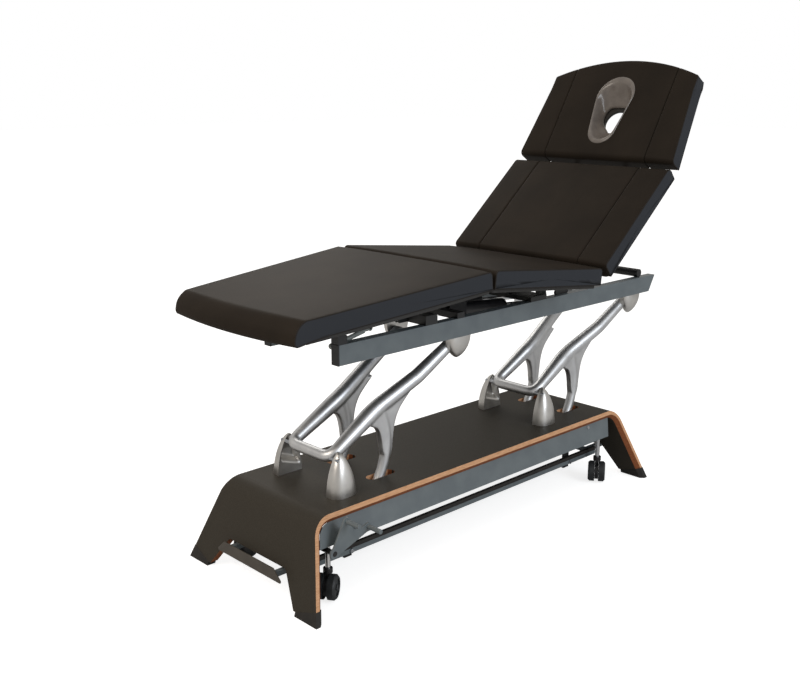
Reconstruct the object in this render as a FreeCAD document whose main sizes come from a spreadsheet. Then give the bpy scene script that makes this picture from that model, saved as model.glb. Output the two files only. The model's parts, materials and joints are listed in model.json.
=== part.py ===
# Treatment table with a four section top on two cast lift arms over a bent plywood base.
# Millimetres, +Z up, +X towards the head end, origin on the floor under the middle of the table.
import FreeCAD, Part
import math
import os
import re
import Sketcher

V = FreeCAD.Vector

# Driving sizes: name, value and what it is
SIZES = [
    ("base_shift", -119.2, "moves the base centre so that the whole table is centred"),
    ("gap", 0.3, "gap between faces that move past each other"),
    ("fit", 0.05, "radial clearance of a pin in its bore"),
    ("base_top", 265.7, "height of the plywood top"),
    ("base_sheet", 25.5, "thickness of the plywood"),
    ("base_half_top", 718.9, "half length at the top, to the corner of the bend"),
    ("base_half_floor", 800.5, "half length at the floor"),
    ("base_side_top", 212.7, "half width at the top"),
    ("base_side_floor", 310.7, "half width at the floor"),
    ("base_bend", 68, "outer radius of the bend"),
    ("edge_bevel", 13.5, "bevel along the inner edge of the plywood"),
    ("leg_gap_high", 106, "height of the opening in an end"),
    ("leg_gap_top", 137, "half width of that opening at its top"),
    ("leg_gap_floor", 214, "half width of that opening at the floor"),
    ("leg_gap_round", 14, "rounding of its upper corners"),
    ("foot_inner", 12, "height of a rubber foot at its inner edge"),
    ("foot_outer", 39, "height of a rubber foot at its outer edge"),
    ("foot_wrap", 1.2, "how far a foot stands round the plywood"),
    ("slot_side", 92, "distance of the branch legs and their slots from the middle"),
    ("slot_width", 38, "width of a slot"),
    ("slot_start", 148, "slot start ahead of the lower pivot"),
    ("slot_end", 254, "slot end ahead of the lower pivot"),
    ("panel_low", 178, "lower edge of a steel side panel"),
    ("panel_sheet", 2, "thickness of the side panel"),
    ("panel_flange", 8, "return flange of the side panel"),
    ("panel_head_top", 675, "head end of the side panel at its top"),
    ("panel_head_low", 652, "head end of the side panel at its bottom"),
    ("screw_along", 550, "place of the side panel screw"),
    ("screw_high", 231, "height of the side panel screw"),
    ("screw_head", 6, "radius of the screw head"),
    ("frame_inner", 112, "inner face of a subframe rail"),
    ("frame_outer", 130, "outer face of a subframe rail"),
    ("frame_low", 208, "underside of the subframe rails"),
    ("frame_foot", 700, "foot end of the subframe rails"),
    ("frame_head", 663, "head end of the subframe rails"),
    ("frame_nose", 32, "length of the low nose under the bend"),
    ("frame_nose_high", 14, "height of that nose"),
    ("case_start", 60, "foot end of the control box"),
    ("case_end", 260, "head end of the control box"),
    ("case_near", -104, "near side of the control box"),
    ("case_far", 34, "far side of the control box"),
    ("lower_foot", -561.5, "foot end lower pivot"),
    ("lower_span", 946, "distance between the two lower pivots"),
    ("lower_high", 371.4, "height of the lower pivots"),
    ("shaft_round", 7, "radius of the pivot shafts"),
    ("fin_inner", 114.5, "inner face of a lower fin"),
    ("fin_outer", 160, "outer face of a lower fin at its base"),
    ("fin_outer_top", 141, "outer face of a lower fin at its tip"),
    ("fin_foot", 32, "fin base behind the pivot"),
    ("fin_head", 56, "fin base ahead of the pivot"),
    ("fin_tip", 19, "radius of the fin round its pivot"),
    ("shaft_half", 134, "half length of the lower pivot shafts"),
    ("arm_run", 476, "upper pivot ahead of the lower pivot"),
    ("arm_rise", 266, "upper pivot above the lower pivot"),
    ("cross_round", 15.5, "radius of the cross tube of an arm"),
    ("arm_round_low", 21.5, "radius of an arm at its lower bend"),
    ("arm_round_top", 18, "radius of an arm near the upper pivot"),
    ("arm_low_side", 101, "arm corner at the cross tube, from the middle"),
    ("arm_mid_side", 94, "arm at its lower bend, from the middle"),
    ("arm_top_side", 118, "arm at the upper pivot, from the middle"),
    ("branch_reach", 225, "radius of the branch leg about the lower pivot"),
    ("branch_round", 17.5, "radius of the branch leg at its top"),
    ("branch_round_end", 15, "radius of the branch leg under the base"),
    ("web_half", 12, "half thickness of the web between arm and branch"),
    ("web_edge", 6, "bevel of the edges of the web"),
    ("web_corner", 0.46, "share of a run that a corner arc of the web takes"),
    ("branch_top", 32, "angle of the branch where it joins the arm"),
    ("branch_end", 72, "angle of the branch end under the base"),
    ("boss_round", 17, "radius of the pivot bosses"),
    ("boss_half", 15, "half length of the pivot bosses"),
    ("crank_drop", 170, "motor pin under the lower pivot"),
    ("crank_pin", 6, "radius of the motor pin"),
    ("crank_plate_in", 16, "inner face of the crank plates"),
    ("crank_plate", 6, "thickness of the crank plates"),
    ("tie_side", 50, "tie rod from the middle"),
    ("tie_thick", 12, "tie rod thickness"),
    ("tie_high", 12, "half height of the tie rod"),
    ("motor_round", 25, "radius of the lift motor tube"),
    ("motor_high", 211.4, "height of the lift motor"),
    ("motor_foot", -370, "foot end of the lift motor tube"),
    ("motor_gear", -120, "start of the lift motor gear case"),
    ("motor_head", -40, "head end of the gear case"),
    ("rod_round", 10, "radius of the lift rod"),
    ("eye_slot", 10.8, "travel of the motor pin across its eye, each way"),
    ("eye_play", 1.6, "play of the motor pin along the rod"),
    ("bar_outer", 150, "outer face of the foot bar"),
    ("bar_thick", 16, "thickness of the foot bar"),
    ("bar_low", 80, "underside of the foot bar"),
    ("bar_high", 15, "height of the foot bar"),
    ("bar_half", 690, "half length of the foot bar ring"),
    ("tread_high", 13, "height of the rubber tread"),
    ("tongue_side", 112, "foot bar tongues from the middle"),
    ("treadle_at", 796, "inner face of an end treadle"),
    ("treadle_sheet", 4, "thickness of an end treadle"),
    ("treadle_low", 75, "lower edge of an end treadle"),
    ("treadle_rise", 37, "height of an end treadle"),
    ("treadle_top", 120, "half length of a treadle at its top"),
    ("treadle_bottom", 152, "half length of a treadle at its bottom"),
    ("bar_bolt_at", 532, "foot bar bolts from the base centre"),
    ("bar_bolt", 4, "radius of a foot bar bolt"),
    ("bar_down", 12, "travel of the foot bar down"),
    ("bar_up", 4, "travel of the foot bar up"),
    ("hanger", 8, "thickness of the hangers"),
    ("castor_foot", -662, "foot end castors"),
    ("castor_span", 1300, "distance between the castor pairs"),
    ("castor_side", 196.2, "castors from the middle"),
    ("castor_high", 41, "height of the castor axles"),
    ("castor_trail", 12, "castor trail"),
    ("castor_turn", 34.6, "castor heading"),
    ("wheel_round", 37.5, "radius of a castor wheel"),
    ("wheel_inner", 7, "inner face of a wheel from the castor middle"),
    ("wheel_wide", 24, "width of a wheel"),
    ("wheel_hub", 25, "radius of the recess in a wheel"),
    ("axle_round", 4, "radius of a castor axle"),
    ("stem_round", 8, "radius of a castor stem"),
    ("collar_low", 80, "underside of a castor collar"),
    ("collar_high", 15, "height of a castor collar"),
    ("collar_round", 14, "radius of a castor collar"),
    ("carriage_low", 192, "underside of a castor beam"),
    ("carriage_high", 14, "height of a castor beam"),
    ("carriage_half", 8, "half width of a castor beam"),
    ("guide_side", 150, "castor guides from the middle"),
    ("guide_round", 5, "radius of a castor guide pin"),
    ("guide_wall", 4, "wall of a castor guide tube"),
    ("treadshaft_back", 24, "castor shaft behind the castors"),
    ("treadshaft_high", 165, "height of the castor shafts"),
    ("treadshaft_round", 8, "radius of the castor shafts"),
    ("lift_crank", 43, "castor crank radius"),
    ("lift_crank_rise", 12.5, "castor crank angle at rest"),
    ("lift_pin", 4, "radius of a castor crank pin"),
    ("lug_side", 172, "castor lugs from the middle"),
    ("link_lever", 40, "lever of the castor link"),
    ("link_side", 158, "castor link from the middle"),
    ("pedal_side", 252, "inner face of a pedal"),
    ("pedal_sheet", 6, "thickness of a pedal"),
    ("peg_round", 7, "radius of a pedal peg"),
    ("peg_long", 52, "length of a pedal peg"),
    ("peg_high_run", 46, "upper peg ahead of the castor shaft"),
    ("peg_high_rise", 84, "upper peg above the castor shaft"),
    ("peg_low_run", 126, "lower peg ahead of the castor shaft"),
    ("peg_low_rise", 44, "lower peg above the castor shaft"),
    ("rail_inner", 141.6, "inner face of a rail"),
    ("rail_thick", 30, "thickness of a rail"),
    ("rail_low", 670.4, "underside of the rails"),
    ("rail_high", 60.2, "height of the rails"),
    ("rail_foot", -586, "foot end of the rails"),
    ("rail_head", 991, "head end of the rails at the top"),
    ("rail_head_cut", 35, "slant of the head end of the rails"),
    ("rail_wall", 3, "wall of the rails"),
    ("cap_sheet", 4, "thickness of a rail cap"),
    ("upper_fin_thick", 8.4, "thickness of an upper fin"),
    ("upper_fin_half", 49, "half length of an upper fin at the rail"),
    ("upper_fin_ahead", 15, "upper fin ahead of its pivot"),
    ("upper_fin_tip", 22, "radius of an upper fin round its pivot"),
    ("upper_fin_low", 16, "tip of an upper fin under its pivot"),
    ("upper_fin_outer", 165, "outer face of an upper fin at the rail"),
    ("upper_fin_outer_tip", 153, "outer face of an upper fin at its tip"),
    ("hip_run", 437, "hip pivot"),
    ("hip_high", 766, "height of the hip pivot"),
    ("hip_shaft", 8, "radius of the hip shaft"),
    ("hip_bracket_out", 156, "outer face of a hip bracket"),
    ("top_drop", 79, "pivots under the top of the cushions"),
    ("pad_thick", 58.5, "thickness of a cushion"),
    ("board", 12, "thickness of a board"),
    ("pad_side", 340, "half width of the cushions"),
    ("board_inset", 14, "board inside the edge of its cushion"),
    ("pad_round", 9, "rounding of the cushion edges"),
    ("seat_rise", 6.3, "seat slope at rest"),
    ("leg_fall", 4.74, "leg slope at rest"),
    ("back_rise", 40.3, "back slope at rest"),
    ("head_rise", 18, "head slope over the back"),
    ("seat_start", 37, "seat cushion from the hip pivot"),
    ("knee_reach", 568.4, "knee pivot from the hip pivot"),
    ("knee_gap", 2.3, "gap between leg and seat cushion when flat"),
    ("seat_past_knee", 3.4, "seat cushion past the knee pivot"),
    ("leg_reach", 686.6, "leg cushion from the knee pivot"),
    ("leg_side_foot", 279.5, "half width of the leg cushion at the foot"),
    ("leg_bow", 22, "bow of the foot end of the leg cushion"),
    ("back_start", 48.6, "back cushion from the hip pivot"),
    ("back_end", 510, "head end of the back cushion from the hip pivot"),
    ("head_hinge_gap", 19, "head hinge past the back cushion"),
    ("head_hinge_drop", 64.5, "head hinge under the top of the cushions"),
    ("head_start", 20, "head cushion from its hinge"),
    ("head_edge", 348, "length of the head cushion at its sides"),
    ("head_mid", 413, "length of the head cushion at its middle"),
    ("head_shoulder", 312, "half width at the head end"),
    ("face_start", 65, "face insert from the lower edge of the head cushion"),
    ("face_end", 342, "upper end of the face insert"),
    ("face_small", 48, "radius of the narrow end of the face insert"),
    ("face_half", 75, "half width of the face insert"),
    ("face_hole_start", 128, "face opening from the lower edge"),
    ("face_hole_end", 227, "upper end of the face opening"),
    ("face_hole_small", 34, "radius of the narrow end of the face opening"),
    ("face_hole_half", 46, "half width of the face opening"),
    ("hub_round", 15, "radius of the panel hubs"),
    ("hub_plate", 6, "thickness of the panel brackets"),
    ("bracket_reach", 160, "length of the panel brackets"),
    ("knee_side", 196, "knee hinges from the middle"),
    ("knee_hub", 8, "radius of the knee and head hinge eyes"),
    ("knee_pin", 4, "radius of the knee and head hinge pins"),
    ("head_hinge_side", 100, "head hinges from the middle"),
    ("seat_bracket_side", 120, "seat brackets from the middle"),
    ("back_bracket_side", 106, "back brackets from the middle"),
    ("drive_side", 55, "panel motors from the middle"),
    ("drive_lever", 82, "panel drive levers"),
    ("drive_angle", 75, "panel drive levers below level"),
    ("drive_tilt", 5, "slope of the panel motors"),
    ("drive_pin", 6, "radius of the panel drive pins"),
    ("drive_tube", 22, "radius of the panel motor tubes"),
    ("drive_rod", 7.8, "radius of the panel motor rods"),
    ("drive_eye", 8, "half width of a drive rod eye"),
    ("drive_near", 219, "motor tube end from its drive pin"),
    ("drive_far", 505, "motor tail from its drive pin"),
    ("drive_play", 0.7, "play of a drive pin along its rod"),
    ("drive_slot", 5.6, "travel of a drive pin across its rod, each way"),
    ("link_pin", 5, "radius of the leg link pins"),
    ("link_foot_run", -430, "leg pin of the leg link"),
    ("link_foot_high", 790, "height of the leg pin"),
    ("link_base_run", -269.1, "frame pin of the leg link"),
    ("link_base_high", 746.7, "height of the frame pin"),
    ("link_place", 84, "leg links from the middle"),
    ("link_thick", 8, "thickness of a leg link"),
    ("link_play", 1.5, "play of the leg pin in its link"),
    ("beam_start", -245, "leg beam start"),
    ("beam_long", 50, "leg beam width"),
    ("beam_high", 29, "leg beam height"),
    ("mid_beam_start", 250, "middle beam start"),
    ("mid_beam_long", 80, "middle beam width"),
    ("mid_beam_high", 16, "middle beam height"),
    ("rest_bar_at", 900, "head rest bar"),
    ("rest_bar_round", 15, "radius of the head rest bar"),
    ("rest_bar_half", 161, "half length of the head rest bar"),
    ("rest_block_start", -590, "leg rest blocks start"),
    ("rest_block_long", 34, "length of a leg rest block"),
    ("rest_block_high", 33, "height of a leg rest block"),
    ("lever_side", 128, "leg release lever from the middle"),
    ("lever_round", 4, "radius of the release lever"),
    ("grip_round", 7, "radius of its grip"),
    ("ball_round", 9, "radius of its ball end"),
    ("lever_tip_run", -433, "release lever pivot"),
    ("lever_tip_high", 748, "height of the release lever pivot"),
    ("ball_run", -577, "release lever ball"),
    ("ball_high", 719, "height of the release lever ball"),
]

doc = FreeCAD.newDocument("TreatmentTable")
sheet = doc.addObject("Spreadsheet::Sheet", "Sizes")
for row, (alias, number, note) in enumerate(SIZES, start=1):
    sheet.set("A%d" % row, str(number))
    sheet.set("B%d" % row, note)
    sheet.setAlias("A%d" % row, alias)
doc.recompute()

ALIASES = {alias for alias, number, note in SIZES}
FINISHED = []


def link(text):
    """Expression with each size name written as a reference to the sheet."""
    return re.sub(r"[a-z_]+", lambda word: "Sizes." + word[0] if word[0] in ALIASES else word[0], str(text))


def size(text):
    """Number that an expression of size names gives."""
    return float(sheet.evalExpression(link(text)))


def bind(thing, **properties):
    for name, text in properties.items():
        thing.setExpression(name, link(text))
    return thing


def place(thing, x=0, y=0, z=0, turn=0, axis=V(0, 1, 0), shift=True):
    """Bind the placement: a turn about axis, then a move, with the shift of the base centre."""
    thing.Placement = FreeCAD.Placement(V(0, 0, 0), FreeCAD.Rotation(axis, 1))
    thing.setExpression("Placement.Base.x", link("base_shift + (%s)" % x if shift else x))
    thing.setExpression("Placement.Base.y", link(y))
    thing.setExpression("Placement.Base.z", link(z))
    thing.setExpression("Placement.Rotation.Angle", link(turn))
    return thing


def finish(thing, name, **where):
    """Name a sub-part, give it its placement and list it for writing."""
    if thing.TypeId in ("Part::Box", "Part::Cylinder"):
        thing = group(thing)
    thing.Label = name
    place(thing, **where)
    FINISHED.append(thing)
    return thing


def box(x0, x1, y0, y1, z0, z1):
    block = doc.addObject("Part::Box", "block")
    bind(block, Length="(%s) - (%s)" % (x1, x0), Width="(%s) - (%s)" % (y1, y0), Height="(%s) - (%s)" % (z1, z0))
    for direction, text in zip("xyz", (x0, y0, z0)):
        block.setExpression("Placement.Base." + direction, link(text))
    return block


def rod(centre, radius, start, end, along="y"):
    """Cylinder along an axis from start to end; centre holds the two other coordinates."""
    turn = {"x": (V(0, 1, 0), 90), "y": (V(1, 0, 0), -90), "z": (V(0, 0, 1), 0)}[along]
    bar = doc.addObject("Part::Cylinder", "bar")
    bind(bar, Radius=radius, Height="(%s) - (%s)" % (end, start))
    bar.Placement = FreeCAD.Placement(V(0, 0, 0), FreeCAD.Rotation(*turn))
    others = [direction for direction in "xyz" if direction != along]
    for direction, text in zip(others, centre):
        bar.setExpression("Placement.Base." + direction, link(text))
    bar.setExpression("Placement.Base." + along, link(start))
    return bar


def fuse(*parts):
    joined = doc.addObject("Part::MultiFuse", "joined")
    joined.Shapes = list(parts)
    return joined


def cut(base, *tools):
    for tool in tools:
        result = doc.addObject("Part::Cut", "cut")
        result.Base = base
        result.Tool = tool
        base = result
    return base


def common(base, tool):
    shared = doc.addObject("Part::Common", "shared")
    shared.Base = base
    shared.Tool = tool
    return shared


def group(*parts):
    together = doc.addObject("Part::Compound", "together")
    together.Links = list(parts)
    return together


def sketch_on(body, role, points, offset=0):
    """Closed polygon sketch on an origin plane, each corner bound to its two expressions."""
    sketch = body.newObject("Sketcher::SketchObject", "profile")
    plane = [feature for feature in body.Origin.OriginFeatures if feature.Role == role][0]
    sketch.AttachmentSupport = [(plane, "")]
    sketch.MapMode = "FlatFace"
    sketch.setExpression("AttachmentOffset.Base.z", link(offset))
    corners = [V(size(x), size(y), 0) for x, y in points]
    for start, end in zip(corners, corners[1:] + corners[:1]):
        sketch.addGeometry(Part.LineSegment(start, end), False)
    count = len(corners)
    for index, (x, y) in enumerate(points):
        sketch.addConstraint(Sketcher.Constraint("Coincident", (index - 1) % count, 2, index, 1))
        for kind, text, number in (("DistanceX", x, corners[index].x), ("DistanceY", y, corners[index].y)):
            made = sketch.addConstraint(Sketcher.Constraint(kind, -1, 1, index, 1, number))
            sketch.setExpression("Constraints[%d]" % made, link(text))
    return sketch


def new_body(name="body"):
    return doc.addObject("PartDesign::Body", name)


def pad(body, sketch, length, middle=False, reverse=False):
    grown = body.newObject("PartDesign::Pad", "pad")
    grown.Profile = sketch
    bind(grown, Length=length)
    grown.Midplane = middle
    grown.Reversed = reverse
    return grown


def pocket(body, sketch, length, middle=False, reverse=False):
    sunk = body.newObject("PartDesign::Pocket", "pocket")
    sunk.Profile = sketch
    bind(sunk, Length=length)
    sunk.Midplane = middle
    sunk.Reversed = reverse
    return sunk


def edges_where(feature, test):
    """Names of the feature's edges that pass a test."""
    doc.recompute()
    return ["Edge%d" % (i + 1) for i, edge in enumerate(feature.Shape.Edges) if test(edge)]


def soften(body, feature, radius, test, kind="Fillet"):
    edges = edges_where(feature, test)
    rounded = body.newObject("PartDesign::" + kind, kind.lower())
    rounded.Base = (feature, edges)
    rounded.setExpression("Radius" if kind == "Fillet" else "Size", link(radius))
    return rounded


def parallel(direction):
    """Test for straight edges along a direction."""
    def test(edge):
        if edge.Curve.TypeId != "Part::GeomLine":
            return False
        return edge.Curve.Direction.cross(direction).Length < 1e-6
    return test


def plate(points, y0, y1, radius=None):
    """Plate with an outline in X and Z between two Y values, its corners rounded on request."""
    body = new_body("plate")
    sketch = sketch_on(body, "XZ_Plane", points, "-(%s)" % y1)
    feature = pad(body, sketch, "(%s) - (%s)" % (y1, y0))
    if radius is not None:
        soften(body, feature, radius, parallel(V(0, 1, 0)))
    return body


def bar_between(a, b, half, y0, y1, bore_a=None, bore_b=None):
    """Flat bar between two pivots with round ends, and a bore at each pivot on request."""
    (ax, az), (bx, bz) = a, b
    angle = "atan2((%s) - (%s); (%s) - (%s))" % (bz, az, bx, ax)
    long = "sqrt(((%s) - (%s))^2 + ((%s) - (%s))^2)" % (bx, ax, bz, az)
    web = new_body("web")
    outline = sketch_on(web, "XZ_Plane", [(0, "-(%s)" % half), (long, "-(%s)" % half), (long, half), (0, half)])
    pad(web, outline, "(%s) - (%s)" % (y1, y0))
    place(web, x=ax, y=y1, z=az, turn="-(%s)" % angle, shift=False)
    bar = fuse(web, rod((ax, az), half, y0, y1), rod((bx, bz), half, y0, y1))
    tools = [rod(centre, bore, "(%s) - 1" % y0, "(%s) + 1" % y1)
             for centre, bore in ((a, bore_a), (b, bore_b)) if bore is not None]
    return cut(bar, *tools)


def sides():
    """Near and far side with the sign of Y."""
    return (("near", -1), ("far", 1))


def span(sign, inner, outer):
    """Lower and upper Y of a piece that lies between two distances from the middle."""
    if sign > 0:
        return "(%s)" % inner, "(%s)" % outer
    return "-(%s)" % outer, "-(%s)" % inner


# Slopes of the plywood shell
LEG_LEAN = "((base_half_floor - base_half_top) / base_top)"
SIDE_LEAN = "((base_side_floor - base_side_top) / base_top)"
LEG_ANGLE = "atan(%s)" % LEG_LEAN
SHEET_ALONG = "(base_sheet / cos(%s))" % LEG_ANGLE
UNDER = "(base_top - base_sheet)"
LOWER_HEAD = "(lower_foot + lower_span)"


# Base shell: bent plywood, open below, with an opening in each end and four slots in the top
def base_shell():
    body = new_body("shell")
    inner_high = UNDER
    inner_half = "(base_half_floor - (%s) * %s - %s)" % (inner_high, LEG_LEAN, SHEET_ALONG)
    floor_inner = "(base_half_floor - %s)" % SHEET_ALONG
    outline = [("-base_half_floor", 0), ("-base_half_top", "base_top"), ("base_half_top", "base_top"),
               ("base_half_floor", 0), (floor_inner, 0), (inner_half, inner_high),
               ("-" + inner_half, inner_high), ("-" + floor_inner, 0)]
    band = pad(body, sketch_on(body, "XZ_Plane", outline), "2 * base_side_floor", middle=True)

    def bend(high):
        level = size(high)
        return lambda edge: parallel(V(0, 1, 0))(edge) and abs(edge.CenterOfMass.z - level) < 0.1

    outer = soften(body, band, "base_bend", bend("base_top"))
    soften(body, outer, "base_bend - base_sheet", bend(UNDER))
    for sign in (-1, 1):
        side = [("%d * base_side_top" % sign, "base_top"), ("%d * base_side_floor" % sign, 0),
                ("%d * (base_side_floor + 20)" % sign, 0), ("%d * (base_side_floor + 20)" % sign, "base_top")]
        feature = pocket(body, sketch_on(body, "YZ_Plane", side), "2 * base_half_floor + 10", middle=True)
    lean = size(SIDE_LEAN)

    def rim(edge):
        """Edges shared by a side plane and the inner face of the sheet."""
        middle = edge.valueAt((edge.FirstParameter + edge.LastParameter) / 2)
        on_side = abs(abs(middle.y) - size("base_side_floor") + middle.z * lean) < 0.01
        under = middle.z < size(UNDER) + 0.01
        inside = abs(middle.x) < size("base_half_floor") - middle.z * size(LEG_LEAN) - size(SHEET_ALONG) + 0.2
        return on_side and under and inside and abs(edge.tangentAt(edge.FirstParameter).y) < 0.9

    feature = soften(body, feature, "edge_bevel", rim, kind="Chamfer")
    opening = [("-leg_gap_floor", -1), ("leg_gap_floor", -1), ("leg_gap_top", "leg_gap_high"),
               ("-leg_gap_top", "leg_gap_high")]
    feature = pocket(body, sketch_on(body, "YZ_Plane", opening), "2 * base_half_floor + 10", middle=True)
    feature = soften(body, feature, "leg_gap_round",
                     lambda edge: abs(edge.CenterOfMass.z - size("leg_gap_high")) < 0.1
                     and abs(edge.tangentAt(edge.FirstParameter).y) < 0.1)
    for sign in (-1, 1):
        outer = "%d * (base_side_floor + foot_wrap - foot_outer * %s)" % (sign, SIDE_LEAN)
        under_edge = [("%d * (leg_gap_floor - 20)" % sign, -1), ("%d * (base_side_floor + 5)" % sign, -1),
                      ("%d * (base_side_floor + 5)" % sign, "foot_outer"), (outer, "foot_outer"),
                      ("%d * leg_gap_floor" % sign, "foot_inner"), ("%d * (leg_gap_floor - 20)" % sign, "foot_inner")]
        pocket(body, sketch_on(body, "YZ_Plane", under_edge), "2 * base_half_floor + 10", middle=True)
    for pivot in ("lower_foot", LOWER_HEAD):
        for name, sign in sides():
            y0, y1 = span(sign, "slot_side - slot_width / 2", "slot_side + slot_width / 2")
            slot = [("%s + slot_start" % pivot, y0), ("%s + slot_end" % pivot, y0),
                    ("%s + slot_end" % pivot, y1), ("%s + slot_start" % pivot, y1)]
            cutter = sketch_on(body, "XY_Plane", slot, "base_top + 1")
            feature = pocket(body, cutter, "base_sheet + 2")
            middle = size(pivot) + size("slot_start + slot_end") / 2
            soften(body, feature, "slot_width * 0.45",
                   lambda edge: parallel(V(0, 0, 1))(edge)
                   and abs(edge.CenterOfMass.x - middle) < size("slot_end - slot_start")
                   and edge.CenterOfMass.y * sign > 0)
    finish(body, "base_shell")


# Rubber feet: caps on the slanted lower edge of each plywood leg
def foot_pads():
    feet = []
    for end in (-1, 1):
        for name, sign in sides():
            profile = new_body("foot")
            section = [("%d * leg_gap_floor" % sign, 0), ("%d * (base_side_floor + foot_wrap)" % sign, 0),
                       ("%d * (base_side_floor + foot_wrap - foot_outer * %s)" % (sign, SIDE_LEAN), "foot_outer"),
                       ("%d * leg_gap_floor" % sign, "foot_inner")]
            pad(profile, sketch_on(profile, "YZ_Plane", section), "2 * base_half_floor + 20", middle=True)
            lean = new_body("lean")
            outer, inner = "(base_half_floor + foot_wrap)", "(base_half_floor - %s - foot_wrap)" % SHEET_ALONG
            high = "(foot_outer + 1)"
            side = [("%d * %s" % (end, outer), 0), ("%d * (%s - %s * %s)" % (end, outer, high, LEG_LEAN), high),
                    ("%d * (%s - %s * %s)" % (end, inner, high, LEG_LEAN), high), ("%d * %s" % (end, inner), 0)]
            pad(lean, sketch_on(lean, "XZ_Plane", side), "2 * base_side_floor + 40", middle=True)
            foot = common(profile, lean)
            slanted = edges_where(foot, lambda edge: abs(edge.tangentAt(edge.FirstParameter).z) > 0.5
                                  and abs(edge.CenterOfMass.y) > size("base_side_floor - 12")
                                  and abs(edge.CenterOfMass.x) < size("base_half_floor - 12"))
            bevelled = doc.addObject("Part::Chamfer", "foot")
            bevelled.Base = foot
            bevelled.Edges = [(int(edge[4:]), size("edge_bevel") - 1, size("edge_bevel") - 1) for edge in slanted]
            feet.append(bevelled)
    finish(group(*feet), "foot_pads")


# Side panels: folded steel behind the bevelled edge, following the flare of the base
def side_panels():
    slope = "(atan(%s))" % SIDE_LEAN
    inset = "(base_side_floor - %s * %s - edge_bevel - 0.6)" % (UNDER, SIDE_LEAN)
    low = "((panel_low - %s) / cos%s)" % (UNDER, slope)

    def leg_inside(high):
        return "(base_half_floor - (%s) * %s - %s - 1)" % (high, LEG_LEAN, SHEET_ALONG)

    panels = []
    for name, sign in sides():
        body = new_body("panel")
        round_in = "(base_bend - base_sheet)"
        outline = [("-%s" % leg_inside("panel_low"), low), ("panel_head_low", low), ("panel_head_top", -0.3),
                   ("-%s + 2" % leg_inside(UNDER), -0.3)]
        sheet_pad = pad(body, sketch_on(body, "XZ_Plane", outline), "panel_sheet", reverse=sign < 0)
        soften(body, sheet_pad, round_in + " + 4",
               lambda edge: parallel(V(0, 1, 0))(edge) and edge.CenterOfMass.x < 0 and edge.CenterOfMass.z > -5)
        flange = [("-%s + 6" % leg_inside("panel_low"), low), ("panel_head_low", low),
                  ("panel_head_low", "%s + panel_sheet" % low),
                  ("-%s + 6" % leg_inside("panel_low"), "%s + panel_sheet" % low)]
        pad(body, sketch_on(body, "XZ_Plane", flange), "panel_flange", reverse=sign < 0)
        panels.append(place(body, y="%d * %s" % (sign, inset), z=UNDER, turn="%d * %s" % (sign, slope),
                            axis=V(1, 0, 0), shift=False))
    finish(group(*panels), "side_panels")
    # Screws through the panels
    screws = []
    for name, sign in sides():
        y = "%d * (base_side_floor - screw_high * %s - edge_bevel - 0.6)" % (sign, SIDE_LEAN)
        head = rod((0, 0), "screw_head", "0.2", "2.7")
        place(head, x="screw_along", y=y, z="screw_high", turn="%d * (90 deg - atan(%s))" % (-sign, SIDE_LEAN), axis=V(1, 0, 0), shift=False)
        screws.append(head)
    finish(group(*screws), "panel_screws")


# Subframe: two steel rails and cross members bolted under the plywood
def subframe():
    parts = []
    for name, sign in sides():
        y0, y1 = span(sign, "frame_inner", "frame_outer")
        parts.append(box("-frame_foot", "-frame_foot + frame_nose + 1", y0, y1, "frame_low", "frame_low + frame_nose_high"))
        parts.append(box("-frame_foot + frame_nose", "frame_head", y0, y1, "frame_low", UNDER))
    parts.append(box("-frame_foot", "-frame_foot + frame_nose", "-frame_outer", "frame_outer", "frame_low",
                     "frame_low + frame_nose_high"))
    parts.append(box("frame_head - 20", "frame_head", "-frame_outer", "frame_outer", "frame_low", UNDER))
    parts.append(box("motor_gear", "motor_head - 10", "-frame_outer", "frame_outer", "motor_high + 20.6", UNDER))
    # Hangers that carry the foot bar and the castor shafts
    for end in (-1, 1):
        for name, sign in sides():
            y0, y1 = span(sign, "bar_outer - bar_thick - gap - hanger", "bar_outer - bar_thick - gap")
            at = "%d * bar_bolt_at" % end
            slab = box(at + " - 15", at + " + 15", y0, y1, "bar_low - bar_down - 6", "frame_low")
            middle = "bar_low + bar_high / 2"
            slot = box("%s - bar_bolt - gap" % at, "%s + bar_bolt + gap" % at, y0 + " - 1", y1 + " + 1",
                       middle + " - bar_down - bar_bolt - 1", middle + " + bar_up + bar_bolt + 1")
            parts.append(cut(slab, slot))
    for at in CASTOR_SHAFTS:
        for name, sign in sides():
            y0, y1 = span(sign, "frame_inner", "frame_inner + 6")
            slab = box(at + " - 12", at + " + 12", y0, y1, "treadshaft_high - 14", "frame_low")
            parts.append(cut(slab, rod((at, "treadshaft_high"), "treadshaft_round + fit", y0 + " - 1", y1 + " + 1")))
    # Outriggers with the guide tubes of the castor carriages
    for at in CASTORS:
        for name, sign in sides():
            centre = (at, "%d * guide_side" % sign)
            low = "carriage_low + carriage_high + 1"
            tube = rod(centre, "guide_round + guide_wall", low, UNDER, along="z")
            y0, y1 = span(sign, "frame_outer - 1", "guide_side")
            outrigger = box(at + " - 8", at + " + 8", y0, y1, "frame_low + 12", UNDER)
            bore = rod(centre, "guide_round + fit", low + " - 1", UNDER + " - 1", along="z")
            parts.append(cut(fuse(tube, outrigger), bore))
    finish(fuse(*parts), "subframe")
    # Control box under the middle of the top
    body = new_body("case")
    outline = [("case_start", "case_near"), ("case_end", "case_near"), ("case_end", "case_far"), ("case_start", "case_far")]
    case = pad(body, sketch_on(body, "XY_Plane", outline, "panel_low"), "%s - panel_low" % UNDER)
    soften(body, case, 6, parallel(V(0, 0, 1)))
    finish(body, "control_box")


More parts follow.
